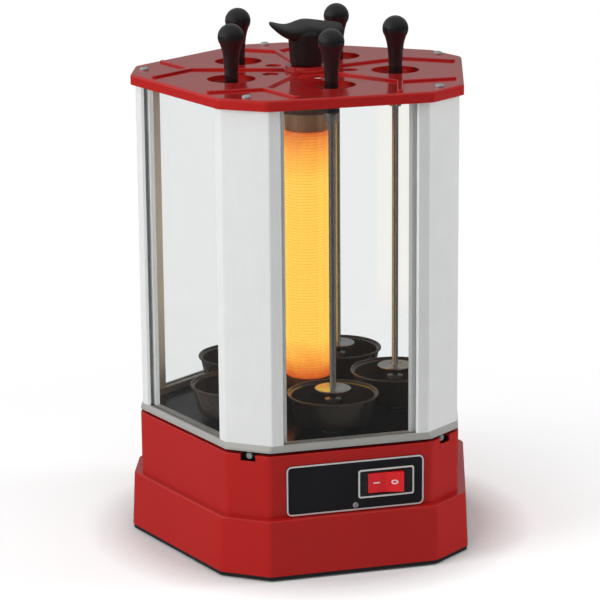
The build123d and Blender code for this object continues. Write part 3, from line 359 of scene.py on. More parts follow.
@dataclass(frozen=True)
class PaintedSheet(Finish):
    """Semi-gloss painted sheet with a fine grain."""

    colour: Colour
    roughness: float = 0.35
    grain: float = 0.0009

    def shade(self, graph: Graph) -> Any:
        """Painted sheet shader.

        Args:
            graph: The material's nodes.

        Returns:
            The shader.
        """
        cloud = graph.noise(0.03, 3.0)
        grain = graph.noise(self.grain, 2.0)
        darker = tuple(0.6 * part for part in self.colour)
        return graph.surface(
            {
                "Base Color": graph.mix(cloud, self.colour, darker),
                "Roughness": cloud * 0.12 + self.roughness,
                "Normal": graph.bump(grain, 0.000006),
            }
        )


class Lay(Enum):
    """Which way the fine lines of a metal run."""

    UPRIGHT = (1.0, 1.0, 0.02)
    LEVEL = (0.03, 0.03, 1.0)
    NONE = (1.0, 1.0, 1.0)


@dataclass(frozen=True)
class BareMetal(Finish):
    """Metal with fine drawn or brushed lines and faint handling marks."""

    colour: Colour
    roughness: float
    lay: Lay = Lay.NONE
    line: float = 0.0005
    depth: float = 0.000003
    metallic: float = 1.0

    def shade(self, graph: Graph) -> Any:
        """Metal shader.

        Args:
            graph: The material's nodes.

        Returns:
            The shader.
        """
        lines = graph.noise(self.line, 3.0, self.lay.value, 0.7)
        smear = graph.noise(0.02, 3.0)
        darker = tuple(0.82 * part for part in self.colour)
        return graph.surface(
            {
                "Base Color": graph.mix((lines * 0.5 + smear * 0.4).clamped(), self.colour, darker),
                "Metallic": self.metallic,
                "Roughness": (lines * 0.12 + smear * 0.1 + (self.roughness - 0.1)).clamped(),
                "Normal": graph.bump(lines, self.depth),
            }
        )


@dataclass(frozen=True)
class MouldedPlastic(Finish):
    """Moulded plastic with a spark-eroded grain and a faint flow pattern."""

    colour: Colour
    roughness: float
    grain: float = 0.0006
    depth: float = 0.000004
    coat: float = 0.0

    def shade(self, graph: Graph) -> Any:
        """Plastic shader.

        Args:
            graph: The material's nodes.

        Returns:
            The shader.
        """
        grain = graph.noise(self.grain, 2.0)
        flow = graph.noise(0.015, 3.0)
        lighter = tuple(min(1.0, 1.35 * part + 0.004) for part in self.colour)
        return graph.surface(
            {
                "Base Color": graph.mix(flow, self.colour, lighter),
                "Roughness": flow * 0.1 + grain * 0.06 + (self.roughness - 0.08),
                "Coat Weight": self.coat,
                "Coat Roughness": 0.06,
                "Normal": graph.bump(grain, self.depth),
            }
        )


@dataclass(frozen=True)
class TurnedCoating(Finish):
    """Dark non-stick coating on spun metal, with rings about the piece's own axis."""

    colour: Colour
    bloom: Colour
    roughness: float
    ring: float = 0.0011

    def shade(self, graph: Graph) -> Any:
        """Ringed coating shader.

        Args:
            graph: The material's nodes.

        Returns:
            The shader.
        """
        across, deep, height = graph.parts(graph.place())
        radius = (across * across + deep * deep).math("SQRT")
        rings = ((radius + height) * (2 * math.pi / self.ring)).math("SINE") * 0.5 + 0.5
        stain = graph.noise(0.009, 4.0, rough=0.6)
        return graph.surface(
            {
                "Base Color": graph.mix(stain, self.colour, self.bloom),
                "Roughness": rings * 0.03 + stain * 0.08 + (self.roughness - 0.06),
                "Coat Weight": 0.5,
                "Coat Roughness": 0.06,
                "Normal": graph.bump(rings * 0.5 + graph.noise(0.0012, 2.0) * 0.5, 0.0000025),
            }
        )


@dataclass(frozen=True)
class ClearPane(Finish):
    """Thin clear glass: it lets light straight through and reflects by angle, with faint smears."""

    tint: Colour
    straight_on: float = 0.035
    haze: float = 0.012

    def shade(self, graph: Graph) -> Any:
        """Glass shader.

        Args:
            graph: The material's nodes.

        Returns:
            The shader.
        """
        clear = graph.node("ShaderNodeBsdfTransparent", {}, {"Color": self.tint}).outputs[0]
        smear = graph.noise(0.03, 4.0, (1.0, 1.0, 0.4), 0.6)
        shine = graph.surface(
            {
                "Base Color": WHITE,
                "Metallic": 1.0,
                "Roughness": smear * 0.03 + 0.01,
                "Normal": graph.bump(graph.noise(0.08, 1.0), 0.00003),
            }
        )
        edge_on = Value(graph, graph.node("ShaderNodeLayerWeight", {}, {"Blend": 0.5}).outputs["Facing"])
        share = (edge_on**5 * 0.9 + smear * self.haze + self.straight_on).clamped()
        return graph.blend(share, clear, shine)


@dataclass(frozen=True)
class Ceramic(Finish):
    """Unglazed fired clay, browned where it is hottest."""

    colour: Colour
    scorched: Colour
    hot_from: float
    hot_to: float

    def shade(self, graph: Graph) -> Any:
        """Ceramic shader.

        Args:
            graph: The material's nodes.

        Returns:
            The shader.
        """
        _, _, height = graph.parts(graph.place())
        heat = ((height - self.hot_from) / (self.hot_to - self.hot_from)).clamped()
        stain = graph.noise(0.011, 4.0, (1.0, 1.0, 0.5), 0.6)
        return graph.surface(
            {
                "Base Color": graph.mix((heat * 0.75 + stain * 0.3).clamped(), self.colour, self.scorched),
                "Roughness": stain * 0.3 + 0.45,
                "Normal": graph.bump(graph.noise(0.0008, 3.0), 0.00003),
            }
        )


@dataclass(frozen=True)
class Glow(Finish):
    """Hot wire, or the clay between its turns with a painted glow, that glows by its height: orange at both
    ends and yellow between them.
    """

    low: float
    high: float
    strength: float
    dull: float = 1.0

    def shade(self, graph: Graph) -> Any:
        """Glowing shader.

        Args:
            graph: The material's nodes.

        Returns:
            The shader.
        """
        _, _, height = graph.parts(graph.place())
        along = ((height - self.low) / (self.high - self.low)).clamped()
        uneven = graph.noise(0.012, 3.0) * 0.07 - 0.035
        orange = (0.66, 0.12 * self.dull, 0.016 * self.dull)
        amber = (0.98, 0.42 * self.dull, 0.060 * self.dull)
        yellow = (1.0, 0.66 * self.dull, 0.095 * self.dull)
        colour = graph.ramp(
            (along + uneven).clamped(),
            [
                (0.0, orange), (0.07, amber), (0.15, yellow),
                (0.80, yellow), (0.92, amber), (1.0, orange),
            ],
        )
        return graph.surface(
            {
                "Base Color": (0.10, 0.05, 0.03),
                "Roughness": graph.noise(0.001, 2.0) * 0.3 + 0.4,
                "Emission Color": colour,
                "Emission Strength": self.strength,
                "Normal": graph.bump(graph.noise(0.0006, 2.0), 0.00001),
            }
        )


RED_ENAMEL = BakedEnamel("red enamel", (0.50, 0.014, 0.012), (0.41, 0.010, 0.009))
BLACK_ENAMEL = BakedEnamel(
    "black floor enamel", (0.012, 0.011, 0.012), (0.008, 0.007, 0.008), 0.16, coat=0.0, shine=0.2
)
BLACK_SHEET = PaintedSheet("black sheet", (0.022, 0.022, 0.024), 0.42)
SATIN_ALUMINIUM = BareMetal("satin aluminium", (0.96, 0.98, 0.97), 0.36, Lay.UPRIGHT, 0.0007, 0.000002, 0.10)
POLISHED_STEEL = BareMetal("polished steel", (0.70, 0.71, 0.72), 0.20, Lay.LEVEL, 0.0005, 0.0000015)
FRAME_METAL = BareMetal("frame metal", (0.62, 0.61, 0.58), 0.50, Lay.LEVEL, 0.0006, 0.0000015, 0.4)
DRAWN_STEEL = BareMetal("drawn skewer steel", (0.62, 0.62, 0.62), 0.24, Lay.UPRIGHT, 0.0005)
ZINC_STEEL = BareMetal("zinc screw steel", (0.66, 0.67, 0.68), 0.27, Lay.NONE, 0.0008, metallic=0.7)
CAN_STEEL = BareMetal("motor can steel", (0.55, 0.55, 0.54), 0.34, Lay.UPRIGHT, 0.0009)
TURNED_BRASS = BareMetal("turned brass", (0.80, 0.58, 0.25), 0.25, Lay.LEVEL, 0.0004)
SINTERED_BRONZE = BareMetal("sintered bronze", (0.52, 0.36, 0.20), 0.42, Lay.NONE, 0.0005, 0.00001)
BLACK_GRIP = MouldedPlastic("gloss black grip", (0.009, 0.008, 0.009), 0.20, 0.0008, 0.000002, 0.25)
BLACK_KNOB = MouldedPlastic("satin black knob", (0.011, 0.010, 0.011), 0.38, 0.0005, 0.000006)
BEZEL_BLACK = MouldedPlastic("bezel black", (0.013, 0.015, 0.017), 0.28)
ROCKER_RED = MouldedPlastic("rocker red", (0.72, 0.011, 0.017), 0.24, 0.0008, 0.000002, 0.2)
MARK_WHITE = MouldedPlastic("mark white", (0.82, 0.70, 0.70), 0.4)
PLATE_NAVY = PaintedSheet("label dark print", (0.012, 0.013, 0.019), 0.38, 0.0007)
TRIM_SILVER = BareMetal("silver trim", (0.90, 0.89, 0.86), 0.34, Lay.LEVEL, 0.0004, metallic=0.2)
GASKET = MouldedPlastic("dark glazing gasket", (0.020, 0.020, 0.022), 0.55)
FOOT_RUBBER = MouldedPlastic("foot rubber", (0.018, 0.018, 0.018), 0.7, 0.0009, 0.00002)
GEAR_NYLON = MouldedPlastic("gear nylon", (0.74, 0.71, 0.62), 0.42)
STRIP_NYLON = MouldedPlastic("terminal strip nylon", (0.78, 0.75, 0.66), 0.38)
CUP_COATING = TurnedCoating("cup non-stick", (0.030, 0.021, 0.016), (0.052, 0.037, 0.028), 0.20)
PANE_GLASS = ClearPane("clear pane", (0.983, 0.990, 0.989), haze=0.003)
SLEEVE_GLASS = ClearPane("quartz sleeve", (0.98, 0.95, 0.89), straight_on=0.06, haze=0.02)
FIRED_CLAY = Ceramic("fired clay", (0.50, 0.30, 0.19), (0.22, 0.085, 0.040), 0.330, 0.318)
# The foot's second colour is the lighter one: the heater base turns lighter towards its top, next to the
# winding, and the cap is lighter all over.
CLAY_FOOT = Ceramic("dark clay foot", (0.060, 0.032, 0.020), (0.10, 0.055, 0.032), 0.099, 0.116)
HOT_WIRE = Glow("hot winding", 0.126, 0.322, 1.25)
# Painted glow: the clay between the turns shines as if lit by the winding, besides its own heat.
PAINTED_GLOW_CORE = Glow("painted glow between turns", 0.126, 0.322, 1.05, 0.88)


@dataclass
class Shape:
    """Gathers faces in one mesh and turns them into a dressed piece."""

    title: str
    mesh: bmesh.types.BMesh = field(default_factory=bmesh.new)

    def turn(self, profile: Sequence[Point2], steps: int = 72, at: Matrix | None = None) -> None:
        """Revolves a profile about the local z axis.

        Args:
            profile: Radius and height of each point, from one end to the other.
            steps: Faces round the axis.
            at: Where the local axes go.
        """
        at = at or Matrix.Identity(4)
        rings: list[list[bmesh.types.BMVert]] = []
        for radius, height in profile:
            if radius < WELD:
                rings.append([self.mesh.verts.new(at @ Vector((0, 0, height)))])
                continue
            ring = []
            for step in range(steps):
                angle = 2 * math.pi * step / steps
                ring.append(self.mesh.verts.new(at @ around(angle, radius, height)))
            rings.append(ring)
        for lower, upper in zip(rings, rings[1:]):
            for step in range(steps):
                after = (step + 1) % steps
                corners = [lower[step % len(lower)], lower[after % len(lower)]]
                corners += [upper[after % len(upper)], upper[step % len(upper)]]
                unique = list(dict.fromkeys(corners))
                if len(unique) > 2:
                    self.mesh.faces.new(unique)

    def loft(self, rings: Sequence[Sequence[Vector]], closed: bool = True) -> None:
        """Skins rings of equal length.

        Args:
            rings: Closed loops of points.
            closed: Whether both ends get a face.
        """
        made = [[self.mesh.verts.new(point) for point in ring] for ring in rings]
        for one, two in zip(made, made[1:]):
            count = len(one)
            for step in range(count):
                after = (step + 1) % count
                self.mesh.faces.new((one[step], one[after], two[after], two[step]))
        if closed:
            self.mesh.faces.new(tuple(reversed(made[0])))
            self.mesh.faces.new(made[-1])

    def weld(self) -> None:
        """Joins points that lie on each other."""
        bmesh.ops.remove_doubles(self.mesh, verts=self.mesh.verts[:], dist=WELD)

    def slab(
        self, outline: Sequence[Point2], thick: float, at: Matrix, inner: Sequence[Point2] | None = None
    ) -> None:
        """A plate in the local x-z plane that grows along local y.

        Args:
            outline: Loop of x and z.
            thick: Growth along y.
            at: Where the local axes go.
            inner: Loop of a hole, with as many points as the outline.
        """
        loops = [[at @ Vector((x, depth, z)) for x, z in outline] for depth in (0.0, thick)]
        if inner is None:
            self.loft(loops)
            return
        holes = [[at @ Vector((x, depth, z)) for x, z in inner] for depth in (thick, 0.0)]
        self.loft([*loops, *holes, loops[0]], closed=False)
        self.weld()

    def piece(
        self,
        finish: Finish,
        body: str,
        slot: str,
        replaces: Iterable[str] = (),
        smooth: float = 35.0,
        bevel: float = 0.0,
        refine: int = 0,
        origin: Vector | None = None,
    ) -> bpy.types.Object:
        """Turns the mesh into a piece of the grill.

        Args:
            finish: Its finish.
            body: The body that it rides on.
            slot: Not used.
            replaces: The nodes that it stands for.
            smooth: Edges sharper than this many degrees stay sharp.
            bevel: Width of a rounding of the sharp edges.
            refine: Levels of subdivision.
            origin: The piece's own origin, where its material's rings are centred.

        Returns:
            The object.
        """
        bmesh.ops.recalc_face_normals(self.mesh, faces=self.mesh.faces[:])
        if origin is not None:
            bmesh.ops.translate(self.mesh, verts=self.mesh.verts[:], vec=-origin)
        data = bpy.data.meshes.new(self.title)
        self.mesh.to_mesh(data)
        self.mesh.free()
        made = linked(self.title, data)
        if origin is not None:
            made.location = origin
        data.materials.append(finish.material())
        soften(made, smooth)
        if bevel:
            edge = made.modifiers.new("rounded edges", "BEVEL")
            edge.width = bevel
            edge.segments = 3
            edge.limit_method = "ANGLE"
            edge.angle_limit = math.radians(30)
            edge.harden_normals = False
        if refine:
            finer = made.modifiers.new("finer", "SUBSURF")
            finer.levels = finer.render_levels = refine
        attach(made, body)
        nodes = tuple(replaces)
        if nodes:
            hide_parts(*nodes)
        return made


def linked(title: str, data: Any) -> bpy.types.Object:
    """Puts an object with that data in the scene.

    Args:
        title: Its name.
        data: Its mesh, lamp or camera.

    Returns:
        The object.
    """
    made = bpy.data.objects.new(title, data)
    bpy.context.scene.collection.objects.link(made)
    return made


def evaluated(made: bpy.types.Object) -> bpy.types.Mesh:
    """A new mesh of the object as its modifiers leave it."""
    graph = bpy.context.evaluated_depsgraph_get()
    return bpy.data.meshes.new_from_object(made.evaluated_get(graph), depsgraph=graph)


def soften(made: bpy.types.Object, degrees: float) -> None:
    """Shades an object smooth, apart from edges sharper than the angle.

    Args:
        made: The object.
        degrees: The angle.
    """
    for face in made.data.polygons:
        face.use_smooth = True
    made.data.set_sharp_from_angle(angle=math.radians(degrees))


def rounded(width: float, height: float, radius: float, steps: int = 6) -> list[Point2]:
    """Loop of a rectangle with rounded corners, centred on zero.

    Args:
        width: Along x.
        height: Along z.
        radius: Of the corners.
        steps: Points of each corner less one.

    Returns:
        The loop.
    """
    loop = []
    for corner, (sx, sz) in enumerate(((1, 1), (-1, 1), (-1, -1), (1, -1))):
        for step in range(steps + 1):
            angle = math.pi / 2 * (corner + step / steps)
            x = sx * (width / 2 - radius) + radius * math.cos(angle)
            z = sz * (height / 2 - radius) + radius * math.sin(angle)
            loop.append((x, z))
    return loop


def section(rows: Iterable[Point2], lift: float = 0.0) -> list[Point2]:
    """Points given in millimetres, in metres and raised by the lift."""
    return [(first * MM, second * MM + lift) for first, second in rows]


def shifted(loop: Sequence[Point2], x: float, z: float) -> list[Point2]:
    """The loop moved by x and z."""
    return [(px + x, pz + z) for px, pz in loop]


def flowing(points: Sequence[Point2], spans: int = 6) -> list[Point2]:
    """A smooth line through the points.

    Args:
        points: The points that it passes through.
        spans: Pieces between each pair.

    Returns:
        More points on the line.
    """
    ends = [points[0], *points, points[-1]]
    line = []
    for before, start, stop, after in zip(ends, ends[1:], ends[2:], ends[3:]):
        for step in range(spans):
            t = step / spans
            weights = (
                -t + 2 * t**2 - t**3,
                2 - 5 * t**2 + 3 * t**3,
                t + 4 * t**2 - 3 * t**3,
                t**3 - t**2,
            )
            pairs = list(zip(weights, (before, start, stop, after)))
            line.append(tuple(0.5 * sum(w * p[axis] for w, p in pairs) for axis in (0, 1)))
    return [*line, points[-1]]


@dataclass(frozen=True)
class PanHead:
    """A cross-recessed pan head that stands on local z = 0."""

    diameter: float
    height: float

    def profile(self) -> list[Point2]:
        """Half section of the domed head.

        Returns:
            Radius and height of each point.
        """
        radius = self.diameter / 2
        line = [(radius * 0.98, 0.0), (radius, self.height * 0.18)]
        for step in range(1, 9):
            angle = math.pi / 2 * step / 8
            reach = radius * math.cos(angle) ** 0.7 if step < 8 else 0.0
            line.append((reach, self.height * (0.18 + 0.82 * math.sin(angle))))
        return line

    def add(self, heads: Shape, recess: Shape, at: Matrix) -> None:
        """Adds the head to one shape and its cross to another.

        Args:
            heads: Takes the head.
            recess: Takes the cross, which is cut out later.
            at: Where the head stands.
        """
        heads.turn([(0.0, 0.0), *self.profile()], 40, at)
        reach, half, floor = self.diameter * 0.31, self.diameter * 0.055, self.height * 0.35
        for turn in (math.pi / 4, 3 * math.pi / 4):
            spin = at @ Matrix.Rotation(turn, 4, "Z")
            levels = ((reach * 0.5, half, floor), (reach, half * 1.5, self.height * 1.3))
            loops = []
            for long, wide, level in levels:
                loop = ((-long, -wide), (long, -wide), (long, wide), (-long, wide))
                loops.append([spin @ Vector((x, y, level)) for x, y in loop])
            recess.loft(loops)


def carve(made: bpy.types.Object, cutter: Shape) -> None:
    """Cuts a shape out of a piece for good.

    Args:
        made: The piece.
        cutter: The shape, which is used up.
    """
    bmesh.ops.recalc_face_normals(cutter.mesh, faces=cutter.mesh.faces[:])
    data = bpy.data.meshes.new(cutter.title)
    cutter.mesh.to_mesh(data)
    cutter.mesh.free()
    tool = linked(cutter.title, data)
    cut = made.modifiers.new("cut", "BOOLEAN")
    cut.operation = "DIFFERENCE"
    cut.solver = "EXACT"
    cut.use_self = True
    cut.object = tool
    result = evaluated(made)
    made.modifiers.remove(cut)
    made.data = result
    bpy.data.objects.remove(tool)
    soften(made, 35)


def dress(nodes: Iterable[str], finish: Finish, smooth: float = 32.0) -> None:
    """Gives CAD nodes a finish and smooth shading.

    Args:
        nodes: Their names.
        finish: The finish.
        smooth: Edges sharper than this many degrees stay sharp.
    """
    for name in nodes:
        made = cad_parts[name]
        made.data.materials.clear()
        made.data.materials.append(finish.material())
        soften(made, smooth)
        LOG.info("finish %s: %s", finish.title, name)


class Base:
    """The two red tiers, the bottom pan on its feet, the gland and what is inside."""

    def build(self) -> None:
        """Dresses the base's nodes."""
        dress(["plinth", "base_shell"], RED_ENAMEL)
        dress(["bottom_pan", "drive_deck"], BLACK_SHEET)
        dress(["floor_tray"], BLACK_ENAMEL)
        dress(["feet"], FOOT_RUBBER)
        dress(["cable_gland"], BEZEL_BLACK)
        dress(["terminal_block"], STRIP_NYLON)
        dress(["gear_motor"], CAN_STEEL)
        dress(["main_gear", "motor_pinion", *[f"spindle_{n}" for n in NUMBERS]], GEAR_NYLON)
        dress(["spindle_bushes"], SINTERED_BRONZE)
        dress(["gear_circlip", "pan_screws", "corner_screws", "top_screws"], ZINC_STEEL)
        self.collars()

    def collars(self) -> None:
        """Turned steel collars round the spindles, on the floor tray."""
        _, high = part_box("floor_tray")
        shape = Shape("spindle_collars")
        rows = [(6.7, 0.0), (12.0, 0.0), (12.0, 0.7), (11.2, 1.3), (9.0, 1.6)]
        rows += [(8.4, 3.2), (7.6, 3.6), (6.9, 3.3), (6.7, 0.0)]
        for angle in FACE_ANGLES:
            shape.turn(section(rows), 56, Matrix.Translation(around(angle, SPINDLE_CIRCLE, high.z)))
        shape.piece(POLISHED_STEEL, "base", "polished_steel")
        LOG.info("spindle collars")


@dataclass
class ControlPlate:
    """The dark plate on the front with its silver border, its screw and the rocker switch."""

    centre_x: float = 3.0 * MM
    centre_z: float = 68.3 * MM
    width: float = 108.0 * MM
    height: float = 39.2 * MM
    corner: float = 4.0 * MM
    border: float = 1.1 * MM
    proud: float = 0.18 * MM
    switch_x: float = 26.7 * MM
    switch_z: float = 69.5 * MM
    switch_width: float = 45.0 * MM
    switch_height: float = 23.4 * MM
    switch_rim: float = 1.25 * MM
    rocker_half: float = 14.0 * MM
    rocker_tilt: float = math.radians(8.0)
    rocker_depth: float = 3.0 * MM
    screw_z: float = 52.7 * MM

    def build(self) -> None:
        """Makes the plate, its screw and the switch."""
        dress(["label_plate"], PLATE_NAVY)
        dress(["switch_frame"], BEZEL_BLACK)
        dress(["switch_rocker"], ROCKER_RED)
        self.borders()
        self.screw()
        self.marks()

    def borders(self) -> None:
        """Silver lines at the edge of the plate and of the switch."""
        line, rim = Shape("label_border"), Shape("switch_rim")
        inset, sunk, rim_sunk = 2 * self.border, 0.05 * MM, 0.3 * MM
        outer = rounded(self.width, self.height, self.corner)
        inner = rounded(self.width - inset, self.height - inset, self.corner - self.border)
        loops = [shifted(loop, -self.centre_x, self.centre_z) for loop in (outer, inner)]
        at = Matrix.Translation((0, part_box("label_plate")[0].y + sunk, 0)) @ HALF_TURN
        line.slab(loops[0], self.proud + sunk, at, loops[1])
        line.piece(TRIM_SILVER, "base", "polished_steel")
        inset = 2 * self.switch_rim
        wide, tall = self.switch_width - 0.9 * MM, self.switch_height - 0.9 * MM
        outer = rounded(wide, tall, 1.9 * MM)
        inner = rounded(wide - inset, tall - inset, 1.1 * MM)
        loops = [shifted(loop, -self.switch_x, self.switch_z) for loop in (outer, inner)]
        at = Matrix.Translation((0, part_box("switch_frame")[0].y + rim_sunk, 0)) @ HALF_TURN
        rim.slab(loops[0], 0.5 * MM, at, loops[1])
        rim.piece(TRIM_SILVER, "base", "polished_steel", bevel=0.12 * MM)
        LOG.info("label border and switch rim")

    def screw(self) -> None:
        """The pan head that holds the plate."""
        low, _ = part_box("label_plate")
        at = Matrix.Translation((self.centre_x, low.y, self.screw_z)) @ Matrix.Rotation(math.pi / 2, 4, "X")
        heads, recess = Shape("label_screw_head"), Shape("label_screw_recess")
        PanHead(4.6 * MM, 1.0 * MM).add(heads, recess, at)
        stem = [(0.0, 0.0), (1.25 * MM, 0.0), (1.25 * MM, -6.5 * MM), (0.0, -7.2 * MM)]
        heads.turn([(r, z + 0.001 * MM) for r, z in stem], 24, at)
        made = heads.piece(ZINC_STEEL, "base", "screw_steel", ["label_screw"])
        carve(made, recess)
        LOG.info("label screw")

    def marks(self) -> None:
        """On and off marks, set flush in the two halves of the rocker."""
        axis_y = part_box("label_plate")[0].y - 2.0 * MM + self.rocker_depth
        axis = Matrix.Translation((self.switch_x, axis_y, self.switch_z))
        turned = axis @ Matrix.Rotation(-self.rocker_tilt, 4, "Z")
        left = turned @ Matrix.Translation((-self.rocker_half * 0.52, -self.rocker_depth, 0))
        left = left @ Matrix.Rotation(self.rocker_tilt, 4, "Z")
        right = turned @ Matrix.Translation((self.rocker_half * 0.50, -self.rocker_depth, 0))
        right = right @ Matrix.Rotation(-self.rocker_tilt, 4, "Z")
        thick = self.rocker_half * 0.5 * math.sin(self.rocker_tilt) + 0.16 * MM
        shape = Shape("rocker_marks")
        shape.slab(rounded(5.0 * MM, 0.95 * MM, 0.3 * MM, 3), thick, left @ HALF_TURN)
        angles = [2 * math.pi * step / 36 for step in range(36)]
        ring = [(2.7 * MM * math.cos(angle), 1.75 * MM * math.sin(angle)) for angle in angles]
        hole = [(0.62 * x, 0.52 * z) for x, z in ring]
        shape.slab(ring, thick, right @ HALF_TURN, hole)
        shape.piece(MARK_WHITE, "rocker", "label_print")
        LOG.info("rocker marks")


@dataclass
class Hood:
    """The lift-off hood: frame, posts, panes, top plate and its screws."""

    glass_face: float = 114.7 * MM
    pane_half: float = 53.36 * MM
    strip: float = 0.5 * MM
    hole_radius: float = 18.52 * MM
    collar_radius: float = 19.7 * MM
    collar_drop: float = 9.0 * MM
    screw_circle: float = 125.4 * MM
    screw_head: PanHead = PanHead(7.4 * MM, 2.4 * MM)

    def build(self) -> None:
        """Dresses the hood and adds its gaskets, collars and screws."""
        dress(["top_plate"], RED_ENAMEL)
        dress(["bottom_frame"], FRAME_METAL, 25.0)
        dress([f"corner_post_{n}" for n in NUMBERS], SATIN_ALUMINIUM)
        dress([f"glass_panel_{n}" for n in NUMBERS], PANE_GLASS)
        self.gaskets()
        self.collars()
        self.screws()

    def collars(self) -> None:
        """The sheet turned down round each handle hole, under the top plate."""
        _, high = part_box("corner_post_1")
        shape = Shape("handle_hole_collars")
        inner, outer, drop = self.hole_radius, self.collar_radius, self.collar_drop
        profile = [(inner, 0.0), (outer + 0.8 * MM, 0.0), (outer, -0.8 * MM), (outer, 0.4 * MM - drop)]
        profile += [(outer - 0.3 * MM, -drop), (inner + 0.2 * MM, -drop)]
        profile += [(inner, 0.3 * MM - drop), (inner, 0.0)]
        for angle in FACE_ANGLES:
            shape.turn(profile, 96, Matrix.Translation(around(angle, SPINDLE_CIRCLE, high.z)))
        shape.weld()
        shape.piece(RED_ENAMEL, "hood", "red_enamel")
        LOG.info("handle hole collars")

    def gaskets(self) -> None:
        """Dark strips that seal each pane against its two posts."""
        low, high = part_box("corner_post_1")
        shape = Shape("pane_gaskets")
        for angle in FACE_ANGLES:
            for side in (-1, 1):
                edges = (self.pane_half - self.strip, self.pane_half + 0.3 * MM)
                loop = [(side * edge, low.z) for edge in edges]
                loop += [(x, high.z - 0.2 * MM) for x, _ in reversed(loop)]
                shape.slab(loop, 0.9 * MM, facing(angle, self.glass_face, 0.0))
        shape.piece(GASKET, "hood", "black_plastic", bevel=0.3 * MM)
        LOG.info("pane gaskets")

    def screws(self) -> None:
        """Pan heads on the corners of the top plate."""
        _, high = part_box("top_screws")
        plate = high.z - self.screw_head.height
        heads, recess = Shape("top_screw_heads"), Shape("top_screw_recesses")
        shank = section([(0.0, -13.9), (1.1, -13.0), (1.45, -12.0), (1.45, -0.01), (0.0, -0.01)])
        for angle in CORNER_ANGLES:
            at = Matrix.Translation(around(angle, self.screw_circle, plate))
            self.screw_head.add(heads, recess, at)
            heads.turn(shank, 24, at)
        made = heads.piece(ZINC_STEEL, "hood", "screw_steel", ["top_screws"])
        carve(made, recess)
        LOG.info("top screws")


@dataclass
class WingKnob:
    """The winged clamp knob: a tapered hub under a swept wing with a crest across its back."""

    base_z: float = 371.5 * MM
    seam_z: float = 395.5 * MM
    floor_z: float = 392.5 * MM
    bore: float = 5.6 * MM
    hub_low: float = 12.5 * MM
    hub_high: float = 14.25 * MM
    voxel: float = 0.42 * MM

    def sections(self) -> list[list[Vector]]:
        """Sections of the wing from its left tip to its right tip.

        Returns:
            Loops of points across the wing, back top first.
        """
        # Each row: x, back y and z, front y and z, thickness at the back and at the front.
        rows = [
            (-29.6, 2.5, 405.3, -1.5, 404.4, 1.6, 1.6),
            (-27.0, 5.0, 405.6, -5.0, 403.2, 3.2, 3.6),
            (-21.5, 8.0, 404.0, -9.0, 400.6, 5.6, 6.4),
            (-14.5, 10.2, 402.4, -11.5, 399.2, 8.0, 9.0),
            (-7.5, 12.0, 404.8, -12.8, 400.2, 11.0, 12.0),
            (-1.0, 13.0, 407.0, -13.2, 401.8, 13.0, 14.0),
            (6.0, 12.6, 406.2, -13.0, 400.4, 12.0, 13.0),
            (13.5, 11.2, 405.0, -12.0, 398.4, 9.6, 10.0),
            (21.0, 9.0, 403.8, -9.6, 397.4, 7.6, 7.4),
            (26.5, 6.4, 403.0, -6.4, 397.6, 6.0, 5.8),
            (29.4, 3.2, 401.8, -2.8, 398.6, 3.6, 3.6),
        ]
        loops = []
        for x, back, back_z, near, near_z, back_thick, near_thick in rows:
            middle, middle_z = (back + near) / 2, (back_z + near_z) / 2 + 0.25
            loop = [
                (back, back_z),
                (middle, middle_z),
                (near, near_z),
                (near * 0.96, near_z - near_thick * 0.5),
                (near * 0.72, near_z - near_thick),
                (middle, middle_z - (back_thick + near_thick) / 2 - 0.6),
                (back * 0.72, back_z - back_thick),
                (back * 0.96, back_z - back_thick * 0.5),
            ]
            loops.append([Vector((x * MM, y * MM, z * MM)) for y, z in loop])
        return loops

    def build(self) -> None:
        """Makes the knob as one moulding."""
        shape = Shape("wing_knob_moulding")
        shape.loft(self.sections())
        crease = shape.mesh.edges.layers.float.new("crease_edge")
        for edge in shape.mesh.edges:
            one = edge.verts[0]
            bent = len(edge.link_faces) == 2 and abs(edge.calc_face_angle(0.0)) > math.radians(38)
            if bent and one.co.z > 394.0 * MM:
                edge[crease] = 0.55
        made = shape.piece(BLACK_KNOB, "wing_knob", "black_plastic", ["knob"], refine=2)
        hub = Shape("wing_knob_hub")
        low, high = self.base_z, self.seam_z
        profile = [(0.0, self.floor_z), (self.bore, self.floor_z), (self.bore, low)]
        profile += [(self.hub_low - 0.6 * MM, low), (self.hub_low, low + 0.5 * MM)]
        for step in range(1, 13):
            t = step / 12
            profile.append((self.hub_low + (self.hub_high - self.hub_low) * t, low + (high - low) * t))
        profile += [(self.hub_high - 1.2 * MM, high + 2.0 * MM), (0.0, high + 3.0 * MM)]
        hub.turn(profile, 96)
        self.fuse(made, hub.piece(BLACK_KNOB, "wing_knob", "black_plastic"))
        dress(["knob_insert"], TURNED_BRASS)
        LOG.info("wing knob")

    def fuse(self, wing: bpy.types.Object, hub: bpy.types.Object) -> None:
        """Joins the hub to the wing and blends the seam, as one moulding.

        Args:
            wing: The wing, which becomes the knob.
            hub: The hub, which is used up.
        """
        join = wing.modifiers.new("join", "BOOLEAN")
        join.operation = "UNION"
        join.solver = "EXACT"
        join.object = hub
        whole = evaluated(wing)
        wing.modifiers.clear()
        wing.data = whole
        bpy.data.objects.remove(hub)
        skin = wing.modifiers.new("skin", "REMESH")
        skin.mode = "VOXEL"
        skin.voxel_size = self.voxel
        relax = wing.modifiers.new("relax", "SMOOTH")
        relax.factor = 0.5
        relax.iterations = 5
        moulded = evaluated(wing)
        wing.modifiers.clear()
        wing.data = moulded
        wing.data.materials.clear()
        wing.data.materials.append(BLACK_KNOB.material())
        soften(wing, 60)


